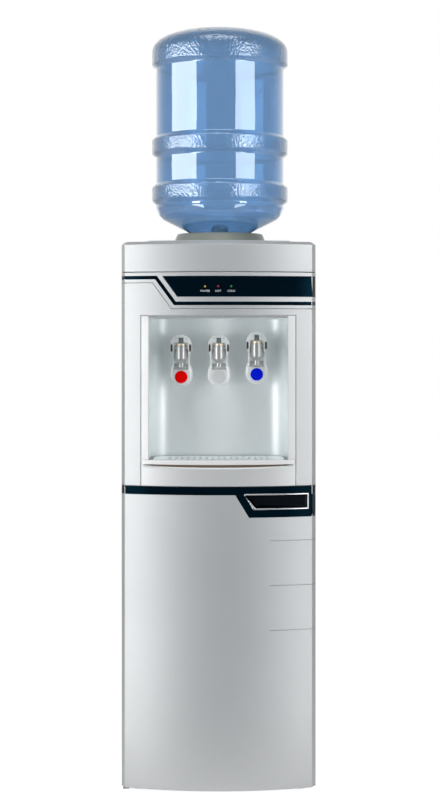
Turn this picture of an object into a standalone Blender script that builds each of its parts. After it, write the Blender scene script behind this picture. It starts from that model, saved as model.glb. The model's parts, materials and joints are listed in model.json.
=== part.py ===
"""Floor-standing water cooler: three push taps over a drip tray, a cabinet below, a bottle on top.

Metres, +Z up, the front faces -Y. The origin is the middle of the footprint, on the floor.
"""
import math

import bmesh
import bpy
from mathutils import Matrix, Vector

# Shared clearances and walls
gap = 0.0003              # between pieces that rest on each other
overrun = 0.004           # how far a cutter runs past what it cuts
moulded_wall = 0.0025     # plastic shells
sheet_wall = 0.0012       # painted steel sheet
stainless_wall = 0.001    # recess liner and tanks
trim_depth = 0.0015       # inlaid trim
groove_width = 0.0012
groove_depth = 0.0008

# Cabinet: plan and heights
body_width = 0.365
overall_depth = 0.375     # from the door's bow to the condenser's back
condenser_room = 0.027    # from the back panel to the condenser's back
bow = 0.028               # how far the front stands out at its middle
chamfer_width = 0.0069
chamfer_depth = 0.018
foot_height = 0.012
foot_radius = 0.018
foot_taper = 0.002
foot_inset = 0.032
pan_height = 0.024
door_lift = 0.002         # from the pan's underside to the door's lower edge
door_height = 0.5637
door_to_fascia = 0.0009
fascia_height = 0.3979
cover_seam = 0.001
cover_height = 0.0565
cover_bevel_width = 0.0066
cover_bevel_height = 0.0053
deck_inset = 0.046
deck_height = 0.004
deck_bevel = 0.0015
deck_corner = 0.008       # how far the deck's front corners are cut off
door_side_gap = 0.0025    # room for the door's rear corner to swing

# Bottle, its seat and collar
bottle_shift = 0.01575    # bottle's axis, behind the middle of the front corners and the back panel
bottle_sink = 0.050       # from the deck down to the neck's end
neck_radius = 0.028
neck_length = 0.0562
cone_radius = 0.112
cone_height = 0.0416
shoulder_radius = 0.1205
shoulder_height = 0.0087
ring_radius = 0.134
wall_radius = 0.126
shoulder_to_wall = 0.0135
ring_slope = 0.008        # height of a ring's sloped flank
ring_face = 0.026         # height of a ring's upright face
low_wall_height = 0.0068  # from the wall's foot to the lower ring
ring_pitch = 0.0931        # lower ring to middle ring
dome_ring_rise = 0.1332   # from the middle ring's top to the top ring
dome_ring_face = 0.0228
dome_height = 0.046
dome_power = 2.4          # how square the dome's curve is, 2 being an ellipse
bottle_wall = 0.002
collar_height = 0.0195
collar_base_radius = 0.0915
collar_rim_radius = 0.084
collar_wall = 0.006
seat_flange_height = 0.003
seat_flange_overlap = 0.008
seat_cone_reach = 0.020   # how far the seat's cone reaches beyond the neck
seat_wall = 0.003
sleeve_room = 0.003       # between the neck and the seat's sleeve
spigot_radius = 0.011
spigot_length = 0.016
probe_base_radius = 0.022
probe_tube_radius = 0.012
probe_head_radius = 0.017
probe_base_height = 0.0025
probe_tube_height = 0.067
probe_head_height = 0.028
probe_bore = 0.008
neck_room = 0.0065        # from the neck's end down to the sleeve's floor
spigot_wall = 0.003

# Front graphics: insets from the body's side, drops from the fascia's top
stripe_width = 0.0063
stripe_top_drop = 0.0065
stripe_bottom_drop = 0.0547
stripe_turn_inset = 0.0679  # from the body's side
stripe_lean = 0.0356      # sideways run of the stripe's slant
panel_top_drop = 0.007
panel_height = 0.0389
panel_top_inset = 0.0778
panel_lean = 0.0286
line_drop = 0.0197
line_height = 0.0482
line_turn_inset = 0.0601
line_lean = 0.0348
lens_radius = 0.002
lens_pitch = 0.0243
lens_proud = 0.0004
lens_drop = 0.0265

# Dispensing recess
fascia_leg = 0.0383       # fascia beside the recess frame
recess_top_drop = 0.0807
frame_strip = 0.0142      # upright strip beside the recess
recess_back_room = 0.012  # from the recess wall to the cold tank's jacket
recess_corner = 0.036
frame_back_room = 0.0045  # the frame's back, behind the front corners
tray_drop = 0.3495        # from the fascia's top to the tray's surface
lip_height = 0.008
lip_end_room = 0.0032     # from the lip's end to the frame's edge
lip_proud = 0.0015
lip_depth = 0.016
finger_gap = 0.0065       # rise of the finger gap under the lip
basin_margin = 0.010
basin_depth = 0.024
basin_wall = 0.002
grille_margin = 0.007
grille_thickness = 0.002
grille_slot = (0.0045, 0.012)
grille_pitch = (0.0115, 0.020)
grille_edge = 0.009
well_depth = 0.030

# Taps: offsets from the lever's pivot
tap_side_room = 0.058     # from the recess side to the outer taps
tap_rise = 0.208          # pivot above the tray's surface
cold_tap_lift = 0.005
tap_wall_distance = 0.042
pivot_ahead = 0.0078      # pivot in front of the tap's upright axis
tap_radius = 0.01225
tap_collar_radius = 0.0102
tap_collar_height = 0.004
tap_shoulder = 0.0045     # pivot up to the barrel's top
tap_barrel = 0.0245
tap_cone = 0.0095
nozzle_radius = 0.0065
nozzle_length = 0.008
nozzle_wall = 0.002
shank_radius = 0.0085
shank_drop = 0.010
shank_past_wall = 0.0105
escutcheon_radius = 0.014
escutcheon_depth = 0.003
axle_radius = 0.0025
axle_length = 0.0175
axle_clearance = 0.0003
stem_radius = 0.0045
stem_rise = 0.0192
stem_sink = 0.001
nut_width = 0.025
nut_depth = 0.006
hood_half = 0.0199
hood_rise = 0.0254
hood_side_rise = 0.008
hood_front = 0.0125
hood_back = 0.0125
hood_roof_rise = 0.0105   # underside of the roof, above the pivot
arm_half = 0.0167
arm_gap_half = 0.0134
arm_front = 0.002
arm_top = 0.007
arm_bottom = 0.033
paddle_shoulder_half = 0.0194
paddle_half = 0.0216
paddle_widest = 0.052
paddle_lip = 0.040
paddle_front = 0.003
paddle_back = 0.010
web_front = 0.0085
web_back = 0.0115
notch_half = 0.0055
notch_back = 0.0108
disc_radius = 0.0121
disc_depth = 0.0012
disc_drop = 0.0555

# Door
groove_reach = 0.0859     # length of the short grooves, from the body's side
groove_first = 0.297
groove_pitch = 0.0833
groove_count = 3
band_left_height = 0.0122
band_right_height = 0.0557
band_turn_gap = 0.0155    # from the band's turn to the grip
band_lean = 0.0255
grip_length = 0.122
grip_side_room = 0.0135
grip_drop = 0.0127
grip_height = 0.030
grip_lean = 0.018
grip_frame_width = 0.0028
grip_frame_proud = 0.0008
grip_cup_wall = 0.0012
grip_cup_depth = 0.024
inner_panel_depth = 0.002
pin_radius = 0.0025
pin_clearance = 0.0003
pin_inset = 0.0095        # pin's axis in from the body's side
pin_back = 0.0125          # pin's axis behind the front corners
pin_reach = 0.010
pin_head_radius = 0.004
pin_head_height = 0.003
hinge_plate = 0.0022
hinge_plate_half = 0.006

# Storage cabinet, tanks and cooling machinery
cabinet_front = 0.025     # behind the front corners
cabinet_back_room = 0.0135
cabinet_side_room = 0.0225
cabinet_margin = 0.014    # from the flange's ends to the box
cabinet_wall = 0.002
magnet_size = (0.016, 0.030)
magnet_height = 0.300
shelf_drop = 0.2045       # from the fascia's top to the tank shelf
shelf_wall = 0.0015
shelf_behind_wall = 0.0225  # from the recess wall to the shelf's front
jacket_radius = 0.066
cold_tank_radius = 0.050
jacket_height = 0.194
jacket_floor = 0.022
hot_tank_radius = 0.048
hot_tank_height = 0.150
hot_tank_neck = 0.012
hot_neck_radius = 0.009
hot_tank_x = -0.060
hot_tank_back_room = 0.0385
compressor_radius = 0.063
compressor_height = 0.150
compressor_base_share = 0.7
compressor_x = 0.050
compressor_back_room = 0.004
condenser_side_room = 0.0425
condenser_bottom = 0.345
condenser_top = 0.950
condenser_tube_radius = 0.0032
condenser_pass_pitch = 0.075
condenser_bend_steps = 5
wire_width = 0.002
wire_pitch = 0.011
wire_depth = 0.0016
standoff_size = (0.012, 0.020)

# Rear controls
plate_size = (0.104, 0.040)
plate_depth = 0.016
plate_proud = 0.002
plate_margin = 0.003
plate_side_room = 0.0505
plate_height = 0.255      # middle of the plate
plate_floor = 0.002
rocker_window = (0.0140, 0.0202)
rocker_half = 0.0092
rocker_side_gap = 0.0004
rocker_sink = 0.0032
rocker_tilt = math.radians(7)
rocker_first = 0.008      # first rocker from the plate's middle
rocker_pitch = 0.022
rocker_shape_shares = ((-0.54, -0.33), (-0.09, -0.92), (0.33, -1.0), (0.20, 0.0), (0.33, 1.0),
                       (-0.09, 0.92), (-0.54, 0.33))
inlet_size = (0.027, 0.020)
inlet_shift = 0.0325
inlet_depth = 0.013
prong_size = (0.0020, 0.0040)
prong_pitch = 0.007
prong_length = 0.010
drain_side_room = 0.0725
drain_height = 0.255
drain_radius = 0.009
drain_bore = 0.005
drain_inner = 0.018
drain_outer = 0.012
cap_radius = 0.0125
cap_depth = 0.013
cap_wall = 0.002

# How finely round shapes are divided
front_facets = 14
bottle_facets = 36
tank_facets = 20
tap_facets = 16
small_facets = 10
arc_steps = 6
dome_steps = 7

# Places worked out from the sizes above
body_half = body_width / 2
face_half = body_half - chamfer_width
front_y = lip_proud - overall_depth / 2
corner_y = front_y + bow
side_y = corner_y + chamfer_depth
panel_front_y = side_y + door_side_gap
back_y = overall_depth / 2 - condenser_room
bow_radius = (face_half ** 2 + bow ** 2) / (2 * bow)
door_bottom = foot_height + door_lift
door_top = door_bottom + door_height
fascia_bottom = door_top + door_to_fascia
fascia_top = fascia_bottom + fascia_height
cover_bottom = fascia_top + cover_seam
cover_top = cover_bottom + cover_height
deck_top = cover_top + deck_height
bottle_y = (corner_y + back_y) / 2 + bottle_shift
recess_top = fascia_top - recess_top_drop
tray_top = fascia_top - tray_drop
lip_bottom = tray_top - lip_height
wall_y = bottle_y - jacket_radius - recess_back_room
recess_frame_half = body_half - fascia_leg
recess_half = recess_frame_half - frame_strip
lip_half = recess_frame_half - lip_end_room
tap_pitch = recess_half - tap_side_room
stripe_turn_x = body_half - stripe_turn_inset
panel_top_x = body_half - panel_top_inset
line_turn_x = body_half - line_turn_inset
groove_start = body_half - groove_reach
grip_right = body_half - grip_side_room
grip_left = grip_right - grip_length
band_turn_x = grip_left - band_turn_gap
hot_tank_y = back_y - hot_tank_back_room - hot_tank_radius
compressor_y = back_y - compressor_back_room - compressor_radius
cabinet_back = compressor_y - compressor_radius - cabinet_back_room
cabinet_half = body_half - cabinet_side_room
condenser_half = body_half - condenser_side_room
plate_place = (body_half - plate_side_room - plate_size[0] / 2, plate_height)
drain_place = (drain_side_room - body_half, drain_height)


def front_at(x, inset=0.0):
    """Depth of the bowed face at a place across the front."""
    return front_y + bow_radius - math.sqrt((bow_radius - inset) ** 2 - x ** 2)


tray_front = front_at(0.0, moulded_wall) + lip_depth
tap_y = wall_y - tap_wall_distance
pivot_y = tap_y - pivot_ahead
pin_x = pin_inset - body_half
pin_y = corner_y + pin_back
shelf_top = fascia_top - shelf_drop
taps = (("hot_tap", -tap_pitch, 0.0, (0.80, 0.005, 0.005)),
        ("room_tap", 0.0, 0.0, (0.72, 0.73, 0.73)),
        ("cold_tap", tap_pitch, cold_tap_lift, (0.005, 0.02, 0.75)))


def clear_scene():
    """Take every object out of the open scene."""
    for old in list(bpy.data.objects):
        bpy.data.objects.remove(old, do_unlink=True)


def finish(piece, colour, roughness, metallic=0.0):
    """Give a piece its own plain material."""
    look = bpy.data.materials.new(piece.name + "_finish")
    look.use_nodes = True
    shader = look.node_tree.nodes["Principled BSDF"]
    shader.inputs["Base Color"].default_value = (*colour, 1.0)
    shader.inputs["Roughness"].default_value = roughness
    shader.inputs["Metallic"].default_value = metallic
    piece.data.materials.append(look)
    return piece


def make_object(name, points, faces, smooth=False):
    """Put points and faces into a mesh object whose faces point out."""
    mesh = bpy.data.meshes.new(name)
    mesh.from_pydata(points, [], faces)
    shape = bmesh.new()
    shape.from_mesh(mesh)
    bmesh.ops.recalc_face_normals(shape, faces=shape.faces)
    shape.to_mesh(mesh)
    shape.free()
    if smooth:
        mesh.shade_smooth()
        mesh.set_sharp_from_angle(angle=math.radians(35))
    piece = bpy.data.objects.new(name, mesh)
    bpy.context.scene.collection.objects.link(piece)
    return piece


def placed(first, second, along, axis):
    """A point from two coordinates in a plane and one along the axis square to it."""
    if axis == "X":
        return (along, first, second)
    if axis == "Y":
        return (first, along, second)
    return (first, second, along)


def prism(name, outline, low, high, axis="Z"):
    """A flat outline drawn out along an axis, from low to high."""
    count = len(outline)
    points = [placed(a, b, low, axis) for a, b in outline]
    points += [placed(a, b, high, axis) for a, b in outline]
    faces = [(i, (i + 1) % count, count + (i + 1) % count, count + i) for i in range(count)]
    faces.append(tuple(range(count)))
    faces.append(tuple(range(count, 2 * count)))
    return make_object(name, points, faces)


def block(name, low, high):
    """A box between two opposite corners."""
    outline = rectangle(low[0], low[1], high[0], high[1])
    return prism(name, outline, low[2], high[2])


def rectangle(left, low, right, high):
    """The four corners of a rectangle."""
    return [(left, low), (right, low), (right, high), (left, high)]


def blocks(name, boxes):
    """Many separate boxes in one mesh, used as one cutter."""
    points = []
    faces = []
    for low, high in boxes:
        first = len(points)
        for z in (low[2], high[2]):
            points += [(x, y, z) for x, y in rectangle(low[0], low[1], high[0], high[1])]
        sides = [(i, (i + 1) % 4, 4 + (i + 1) % 4, 4 + i) for i in range(4)]
        for side in sides + [(0, 1, 2, 3), (4, 5, 6, 7)]:
            faces.append(tuple(first + corner for corner in side))
    return make_object(name, points, faces)


def turned(name, profile, centre, axis="Z", facets=small_facets):
    """A closed profile of radius and height turned round an axis through the centre."""
    points = []
    rings = []
    for radius, height in profile:
        count = facets if radius > 0 else 1
        rings.append((len(points), count))
        for step in range(count):
            angle = math.tau * step / facets
            first = radius * math.cos(angle)
            second = radius * math.sin(angle)
            points.append(Vector(centre) + Vector(placed(first, second, height, axis)))
    faces = []
    for (start, count), (other, other_count) in zip(rings, rings[1:] + rings[:1]):
        for step in range(facets):
            after = (step + 1) % facets
            corners = [start + step % count, start + after % count,
                       other + after % other_count, other + step % other_count]
            face = tuple(dict.fromkeys(corners))
            if len(face) > 2:
                faces.append(face)
    return make_object(name, points, faces, smooth=True)


def disc_profile(radius, low, high):
    """Profile of a plain round rod or disc."""
    return [(0, low), (radius, low), (radius, high), (0, high)]


def ring_profile(inner, outer, low, high):
    """Profile of a plain ring or tube."""
    return [(inner, low), (outer, low), (outer, high), (inner, high)]


def arc(centre, radii, start, end, steps):
    """Points along part of an ellipse, angles in degrees."""
    points = []
    for step in range(steps + 1):
        angle = math.radians(start + (end - start) * step / steps)
        points.append((centre[0] + radii[0] * math.cos(angle), centre[1] + radii[1] * math.sin(angle)))
    return points


def shifted(points, distance, closed=False):
    """Move a line of points to its left by a distance, keeping its corners mitred."""
    spots = [Vector(point) for point in points]
    count = len(spots)
    moved = []
    for i, spot in enumerate(spots):
        before = spots[i - 1] if i or closed else None
        after = spots[(i + 1) % count] if i + 1 < count or closed else None
        runs = []
        if before is not None:
            runs.append((spot - before).normalized())
        if after is not None:
            runs.append((after - spot).normalized())
        normals = [Vector((-run.y, run.x)) for run in runs]
        middle = sum(normals, Vector((0, 0))).normalized()
        moved.append(tuple(spot + middle * (distance / middle.dot(normals[0]))))
    return moved


def grown(outline, distance):
    """A closed outline, written anticlockwise, made larger all round."""
    return shifted(outline, -distance, closed=True)


def guide(*tools):
    """Mark shapes that only cut or trim others."""
    for tool in tools:
        tool.hide_render = True
        tool.display_type = "WIRE"


def combine(piece, operation, *tools):
    """Cut, join or trim a piece with other shapes."""
    guide(*tools)
    for tool in tools:
        step = piece.modifiers.new(tool.name, "BOOLEAN")
        step.operation = operation
        step.solver = "EXACT"
        step.object = tool
    return piece


def cut(piece, *tools):
    """Take the tools' shapes away from a piece."""
    return combine(piece, "DIFFERENCE", *tools)


def join(piece, *tools):
    """Add the tools' shapes to a piece, as one body."""
    return combine(piece, "UNION", *tools)


def trim(piece, *tools):
    """Keep only what lies inside the tools."""
    return combine(piece, "INTERSECT", *tools)


def pivot(name, place):
    """An empty on a joint's axis, which carries the pieces that move with it."""
    empty = bpy.data.objects.new(name, None)
    empty.location = place
    empty.empty_display_size = axle_length
    bpy.context.scene.collection.objects.link(empty)
    return empty


def carry(empty, *pieces):
    """Parent pieces, with their own modifiers' tools, to an empty without moving them."""
    for piece in pieces:
        piece.parent = empty
        piece.location = piece.location - empty.location
        for step in piece.modifiers:
            if step.object.parent is None:
                carry(empty, step.object)


def front_line(inset=0.0, back=side_y + overrun):
    """The front seen from above, left to right: side, chamfer, bowed face, chamfer, side."""
    line = [(-body_half, side_y)]
    sweep = math.degrees(math.asin(face_half / bow_radius))
    middle = (0.0, front_y + bow_radius)
    line += arc(middle, (bow_radius, bow_radius), 270 - sweep, 270 + sweep, front_facets)
    line.append((body_half, side_y))
    if back > side_y:
        line = [(-body_half, back)] + line + [(body_half, back)]
    return shifted(line, inset)


def front_block(name, inset, low, high, back):
    """Everything behind the front surface, moved in by an inset, as far as a flat back."""
    return prism(name, front_line(inset, back), low, high)


def front_skin(name, outer, inner, low, high):
    """A layer that follows the front, between two insets."""
    ahead = front_line(outer)
    behind = front_line(inner)
    return prism(name, ahead + behind[::-1], low, high)


def face_prism(name, outline, back=side_y):
    """An outline on the front, drawn from front to back."""
    return prism(name, outline, front_y - overrun, back, "Y")


def inlay(name, outline, proud, depth):
    """A thin trim that follows the front, inside an outline."""
    heights = [place[1] for place in outline]
    piece = front_skin(name, -proud, depth, min(heights) - overrun, max(heights) + overrun)
    return trim(piece, face_prism(name + "_outline", outline, side_y - 2 * gap))


def pocket(name, outline, depth):
    """A cutter for the seat of an inlaid trim, with a gap all round."""
    heights = [place[1] for place in outline]
    low = min(heights) - overrun
    high = max(heights) + overrun
    piece = front_skin(name, -overrun / 2, depth + gap, low, high)
    return trim(piece, face_prism(name + "_outline", grown(outline, gap), side_y - gap))


def groove(name, path):
    """A cutter for a fine line along the front."""
    half = groove_width / 2
    outline = shifted(path, -half) + shifted(path, half)[::-1]
    heights = [place[1] for place in outline]
    low = min(heights) - overrun
    high = max(heights) + overrun
    piece = front_skin(name, -overrun / 2, groove_depth, low, high)
    return trim(piece, face_prism(name + "_outline", outline, side_y + overrun))


def stripe_outline():
    """The navy stripe: a step down from the left edge, then along under the panel."""
    reach = body_half + overrun
    high = fascia_top - stripe_top_drop
    low = fascia_top - stripe_bottom_drop
    path = [(-reach, high), (-stripe_turn_x, high), (stripe_lean - stripe_turn_x, low), (reach, low)]
    return shifted(path, -stripe_width) + path[::-1]


def panel_outline():
    """The display panel: slanted at its left, round the corner at its right."""
    high = fascia_top - panel_top_drop
    low = high - panel_height
    reach = body_half + overrun
    return [(panel_lean - panel_top_x, low), (reach, low), (reach, high), (-panel_top_x, high)]


def line_path():
    """The fine groove below the stripe, on the same slant."""
    reach = body_half + overrun
    high = fascia_top - line_drop
    low = high - line_height
    return [(-reach, high), (-line_turn_x, high), (line_lean - line_turn_x, low), (reach, low)]


def band_outline():
    """The door band: a narrow strip at the left, deep round the grip at the right."""
    reach = body_half + overrun
    left_low = door_top - band_left_height
    right_low = door_top - band_right_height
    return [(-reach, left_low), (band_turn_x, left_low), (band_turn_x + band_lean, right_low),
            (reach, right_low), (reach, door_top), (-reach, door_top)]


def grip_outline():
    """The grip's frame: slanted at its left, square at its right."""
    high = door_top - grip_drop
    low = high - grip_height
    return [(grip_left + grip_lean, low), (grip_right, low), (grip_right, high), (grip_left, high)]


def frame_outline(shrink=0.0):
    """The recess frame's outer edge on the front."""
    half = recess_frame_half - shrink
    return rectangle(-half, fascia_bottom + shrink, half, recess_top - shrink)


def build_base():
    """Base pan, its four feet and the two side panels, which stand beside the pan."""
    half = body_half - sheet_wall - gap
    front = corner_y + cabinet_front
    top = foot_height + pan_height
    rear = back_y - 2 * (sheet_wall + gap)
    inner = sheet_wall
    pan = block("base_pan", (-half, front, foot_height), (half, rear, top))
    cut(pan, block("pan_hollow", (inner - half, front + inner, foot_height + inner),
                   (half - inner, rear - inner, top + overrun)))
    finish(pan, (0.10, 0.10, 0.10), 0.6)
    for row, y in (("front", front + foot_inset), ("rear", back_y - foot_inset)):
        for side, x in (("left", foot_inset - body_half), ("right", body_half - foot_inset)):
            top = foot_height - gap
            profile = [(0, 0), (foot_radius - foot_taper, 0), (foot_radius, top), (0, top)]
            foot = turned(f"foot_{row}_{side}", profile, (x, y, 0.0))
            finish(foot, (0.03, 0.03, 0.03), 0.8)
    for side, sign in (("left", -1), ("right", 1)):
        outer = sign * body_half
        inner = outer - sign * sheet_wall
        flange = outer - sign * foot_inset / 2
        rear = back_y - sheet_wall - gap
        outline = [(outer, panel_front_y), (outer, rear), (flange, rear), (flange, rear - sheet_wall),
                   (inner, rear - sheet_wall), (inner, panel_front_y)]
        panel = prism(f"{side}_side_panel", outline, foot_height, cover_bottom - gap)
        finish(panel, (0.62, 0.63, 0.64), 0.4, 0.3)


def build_back():
    """The back panel, cut for the rear controls and the drain."""
    half = body_half - gap
    low = foot_height + gap
    panel = block("back_panel", (-half, back_y - sheet_wall, low), (half, back_y, cover_bottom - gap))
    x, z = plate_place
    width, height = (size / 2 - plate_margin + gap for size in plate_size)
    window = rectangle(x - width, z - height, x + width, z + height)
    x, z = drain_place
    hole = turned("drain_hole", disc_profile(drain_radius + gap, -overrun, overrun),
                  (x, back_y, z), "Y", tap_facets)
    cut(panel, prism("plate_window", window, back_y - overrun, back_y + overrun, "Y"), hole)
    finish(panel, (0.55, 0.56, 0.57), 0.45, 0.3)


def hollow_shell(name, low, high, back):
    """A moulded tray with the front's shape: walls all round, open at the back."""
    shell = front_block(name, 0.0, low, high, back)
    wall = moulded_wall
    return cut(shell, front_block(name + "_hollow", wall, low + wall, high - wall, back + overrun))


def build_fascia():
    """The upper front, with its inlays, indicator lenses and groove."""
    fascia = hollow_shell("front_fascia", fascia_bottom, fascia_top, panel_front_y - gap)
    opening = grown(frame_outline(), gap)
    opening = [(x, z - overrun) if z < recess_top else (x, z) for x, z in opening]
    cut(fascia, face_prism("fascia_opening", opening, panel_front_y),
        pocket("stripe_seat", stripe_outline(), trim_depth),
        pocket("panel_seat", panel_outline(), trim_depth),
        groove("fascia_line", line_path()), pin_hole("fascia_pin_hole"))
    finish(fascia, (0.66, 0.68, 0.69), 0.35, 0.4)
    finish(inlay("navy_stripe", stripe_outline(), 0.0, trim_depth), (0.008, 0.014, 0.030), 0.15)
    panel = inlay("display_panel", panel_outline(), 0.0, trim_depth)
    height = fascia_top - lens_drop
    lamps = (("power_lens", -1, (0.9, 0.75, 0.05)), ("hot_lens", 0, (0.8, 0.05, 0.03)),
             ("cold_lens", 1, (0.05, 0.6, 0.12)))
    for name, place, colour in lamps:
        x = place * lens_pitch
        centre = (x, front_at(x, trim_depth), height)
        seat = disc_profile(lens_radius + gap, -overrun, overrun)
        cut(panel, turned(name + "_hole", seat, centre, "Y"))
        lens = [(0, 0), (lens_radius, 0), (lens_radius, -trim_depth),
                (lens_radius / 2, -trim_depth - lens_proud), (0, -trim_depth - lens_proud)]
        finish(turned(name, lens, centre, "Y"), colour, 0.2)
    finish(panel, (0.006, 0.012, 0.026), 0.08)


def recess_plan(inset, front):
    """The recess seen from above: open at the front, round inner corners at the back."""
    half = recess_half - inset
    corner = recess_corner - inset
    back = wall_y - inset
    side = half - corner
    depth = back - corner
    line = [(-half, front), (half, front)]
    line += arc((side, depth), (corner, corner), 0, 90, arc_steps)
    line += arc((-side, depth), (corner, corner), 90, 180, arc_steps)
    return line


def build_recess():
    """The frame round the recess, its stainless liner and the well under the tray."""
    wall = moulded_wall
    back = corner_y + frame_back_room
    frame = front_block("recess_frame", 0.0, fascia_bottom, recess_top, back)
    hollow = front_block("frame_hollow", wall, fascia_bottom, recess_top, back + overrun)
    trim(hollow, face_prism("frame_hollow_outline", frame_outline(wall), back + 2 * overrun))
    mouth = rectangle(-recess_half, lip_bottom - gap, recess_half, recess_top - wall - stainless_wall)
    dip = arc((0, lip_bottom), (lip_half - wall, finger_gap), 180, 360, 2 * arc_steps)
    trim(frame, face_prism("frame_edge", frame_outline(), back + overrun))
    cut(frame, hollow, *(face_prism(label, outline, back + overrun) for label, outline in
                         (("frame_mouth", mouth), ("finger_dip", dip))))
    finish(frame, (0.75, 0.77, 0.78), 0.35, 0.3)

    front = front_at(recess_half + stainless_wall, wall) + gap
    low = lip_bottom - gap
    top = recess_top - wall - gap
    liner = prism("recess_liner", recess_plan(-stainless_wall, front), low, top)
    inside = recess_plan(0.0, front - overrun)
    cut(liner, prism("liner_hollow", inside, low - overrun, top - stainless_wall))
    hole = disc_profile(shank_radius + gap, -overrun, overrun)
    for name, x, lift, tap_colour in taps:
        centre = (x, wall_y, tray_top + tap_rise + lift - shank_drop)
        cut(liner, turned(name + "_wall_hole", hole, centre, "Y", tap_facets))
    finish(liner, (0.60, 0.62, 0.62), 0.25, 1.0)

    low = lip_bottom - well_depth
    top = lip_bottom - 2 * gap
    well = prism("tray_well", recess_plan(-stainless_wall, front), low, top)
    cut(well, prism("well_hollow", recess_plan(wall, front + wall), low + wall, top + overrun))
    finish(well, (0.55, 0.56, 0.56), 0.5)


def tray_plan(margin):
    """The tray's plan inside the recess, by its margin to the liner."""
    return recess_plan(margin, tray_front + margin)


def build_tray():
    """The drip tray, with its lip and basin, and the slotted grille that lies in it."""
    top = tray_top
    tray = prism("drip_tray", tray_plan(gap), lip_bottom, top)
    nose_half = recess_half - gap
    nose = front_block("tray_nose", -lip_proud / 2, lip_bottom, top, tray_front + basin_margin / 2)
    trim(nose, prism("nose_sides", rectangle(-nose_half, front_y - overrun, nose_half, side_y),
                     lip_bottom - overrun, top + overrun))
    lip = front_skin("tray_lip", -lip_proud, -gap, lip_bottom, top)
    trim(lip, prism("lip_ends", rectangle(-lip_half, front_y - overrun, lip_half, side_y),
                    lip_bottom - overrun, top + overrun))
    sink = lip_bottom - basin_depth
    basin = prism("tray_basin", tray_plan(basin_margin), sink, lip_bottom + basin_wall)
    join(tray, nose, lip, basin)
    seat = top - grille_thickness - gap
    cut(tray, prism("basin_hollow", tray_plan(basin_margin + basin_wall), sink + basin_wall, top + overrun),
        prism("grille_seat", tray_plan(grille_margin), seat, top + overrun))
    finish(tray, (0.72, 0.74, 0.75), 0.35, 0.3)

    grille = prism("drip_grille", tray_plan(grille_margin + gap), seat + gap, top)
    half = recess_half - recess_corner
    front = tray_plan(grille_margin)[0][1] + grille_edge
    across, along = grille_pitch
    width, depth = grille_slot
    columns = int(half // across)
    rows = int((wall_y - grille_margin - grille_edge - front) // along)
    holes = []
    for row in range(rows):
        low = front + row * along
        for column in range(-columns, columns + 1):
            x = column * across
            holes.append(((x - width / 2, low, seat - overrun), (x + width / 2, low + depth, top + overrun)))
    cut(grille, blocks("grille_slots", holes))
    finish(grille, (0.60, 0.62, 0.62), 0.3, 0.9)
    lift = pivot("tray_lift", (0, corner_y, lip_bottom))
    grille_lift = pivot("grille_lift", (0, corner_y, seat))
    carry(lift, tray)
    carry(grille_lift, grille)


def build_tap(name, x, lift, colour):
    """One tap: body on its shank, valve stem, push lever, colour disc and the nut behind the wall."""
    height = tray_top + tap_rise + lift
    centre = (x, tap_y, height)
    foot = tap_shoulder - tap_barrel
    cone_end = foot - tap_cone
    end = cone_end - nozzle_length
    bore = nozzle_radius - nozzle_wall
    collar_top = tap_shoulder + tap_collar_height
    profile = [(0, -stem_sink), (stem_radius + gap, -stem_sink), (stem_radius + gap, collar_top),
               (tap_collar_radius, collar_top), (tap_collar_radius, tap_shoulder),
               (tap_radius, tap_shoulder)]
    profile += arc((nozzle_radius, foot), (tap_radius - nozzle_radius, tap_cone), 0, -90, arc_steps)
    profile += [(nozzle_radius, end), (bore, end), (bore, cone_end), (0, cone_end)]
    body = turned(name + "_body", profile, centre, "Z", tap_facets)
    plate = wall_y - tap_y - gap
    tail = wall_y - tap_y + shank_past_wall
    shank = [(0, 0), (shank_radius, 0), (shank_radius, plate - escutcheon_depth),
             (escutcheon_radius, plate - escutcheon_depth), (escutcheon_radius, plate),
             (shank_radius, plate), (shank_radius, tail), (0, tail)]
    axle = (x, pivot_y, height)
    join(body, turned(name + "_shank", shank, (x, tap_y, height - shank_drop), "Y", tap_facets),
         turned(name + "_axle", disc_profile(axle_radius, -axle_length, axle_length), axle, "X"))
    finish(body, (0.62, 0.62, 0.62), 0.12, 1.0)

    back = wall_y + stainless_wall + gap
    corners = arc((x, height - shank_drop), (nut_width / math.sqrt(3),) * 2, 0, 300, 5)
    nut = prism(name + "_nut", corners, back, back + nut_depth, "Y")
    hole = disc_profile(shank_radius + gap, -overrun, nut_depth + overrun)
    cut(nut, turned(name + "_nut_hole", hole, (x, back, height - shank_drop), "Y", tap_facets))
    finish(nut, (0.75, 0.74, 0.70), 0.4, 1.0)

    stem = [(0, gap - stem_sink), (stem_radius, gap - stem_sink), (stem_radius, stem_rise - gap),
            (stem_radius - gap, stem_rise), (0, stem_rise)]
    stem = turned(name + "_stem", stem, centre)
    finish(stem, (0.30, 0.36, 0.38), 0.5)
    carry(pivot(name + "_stem_slide", centre), stem)

    lever = build_lever(name, x, height)
    carry(pivot(name + "_lever_axis", axle), lever, build_disc(name, x, height, colour))


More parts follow.
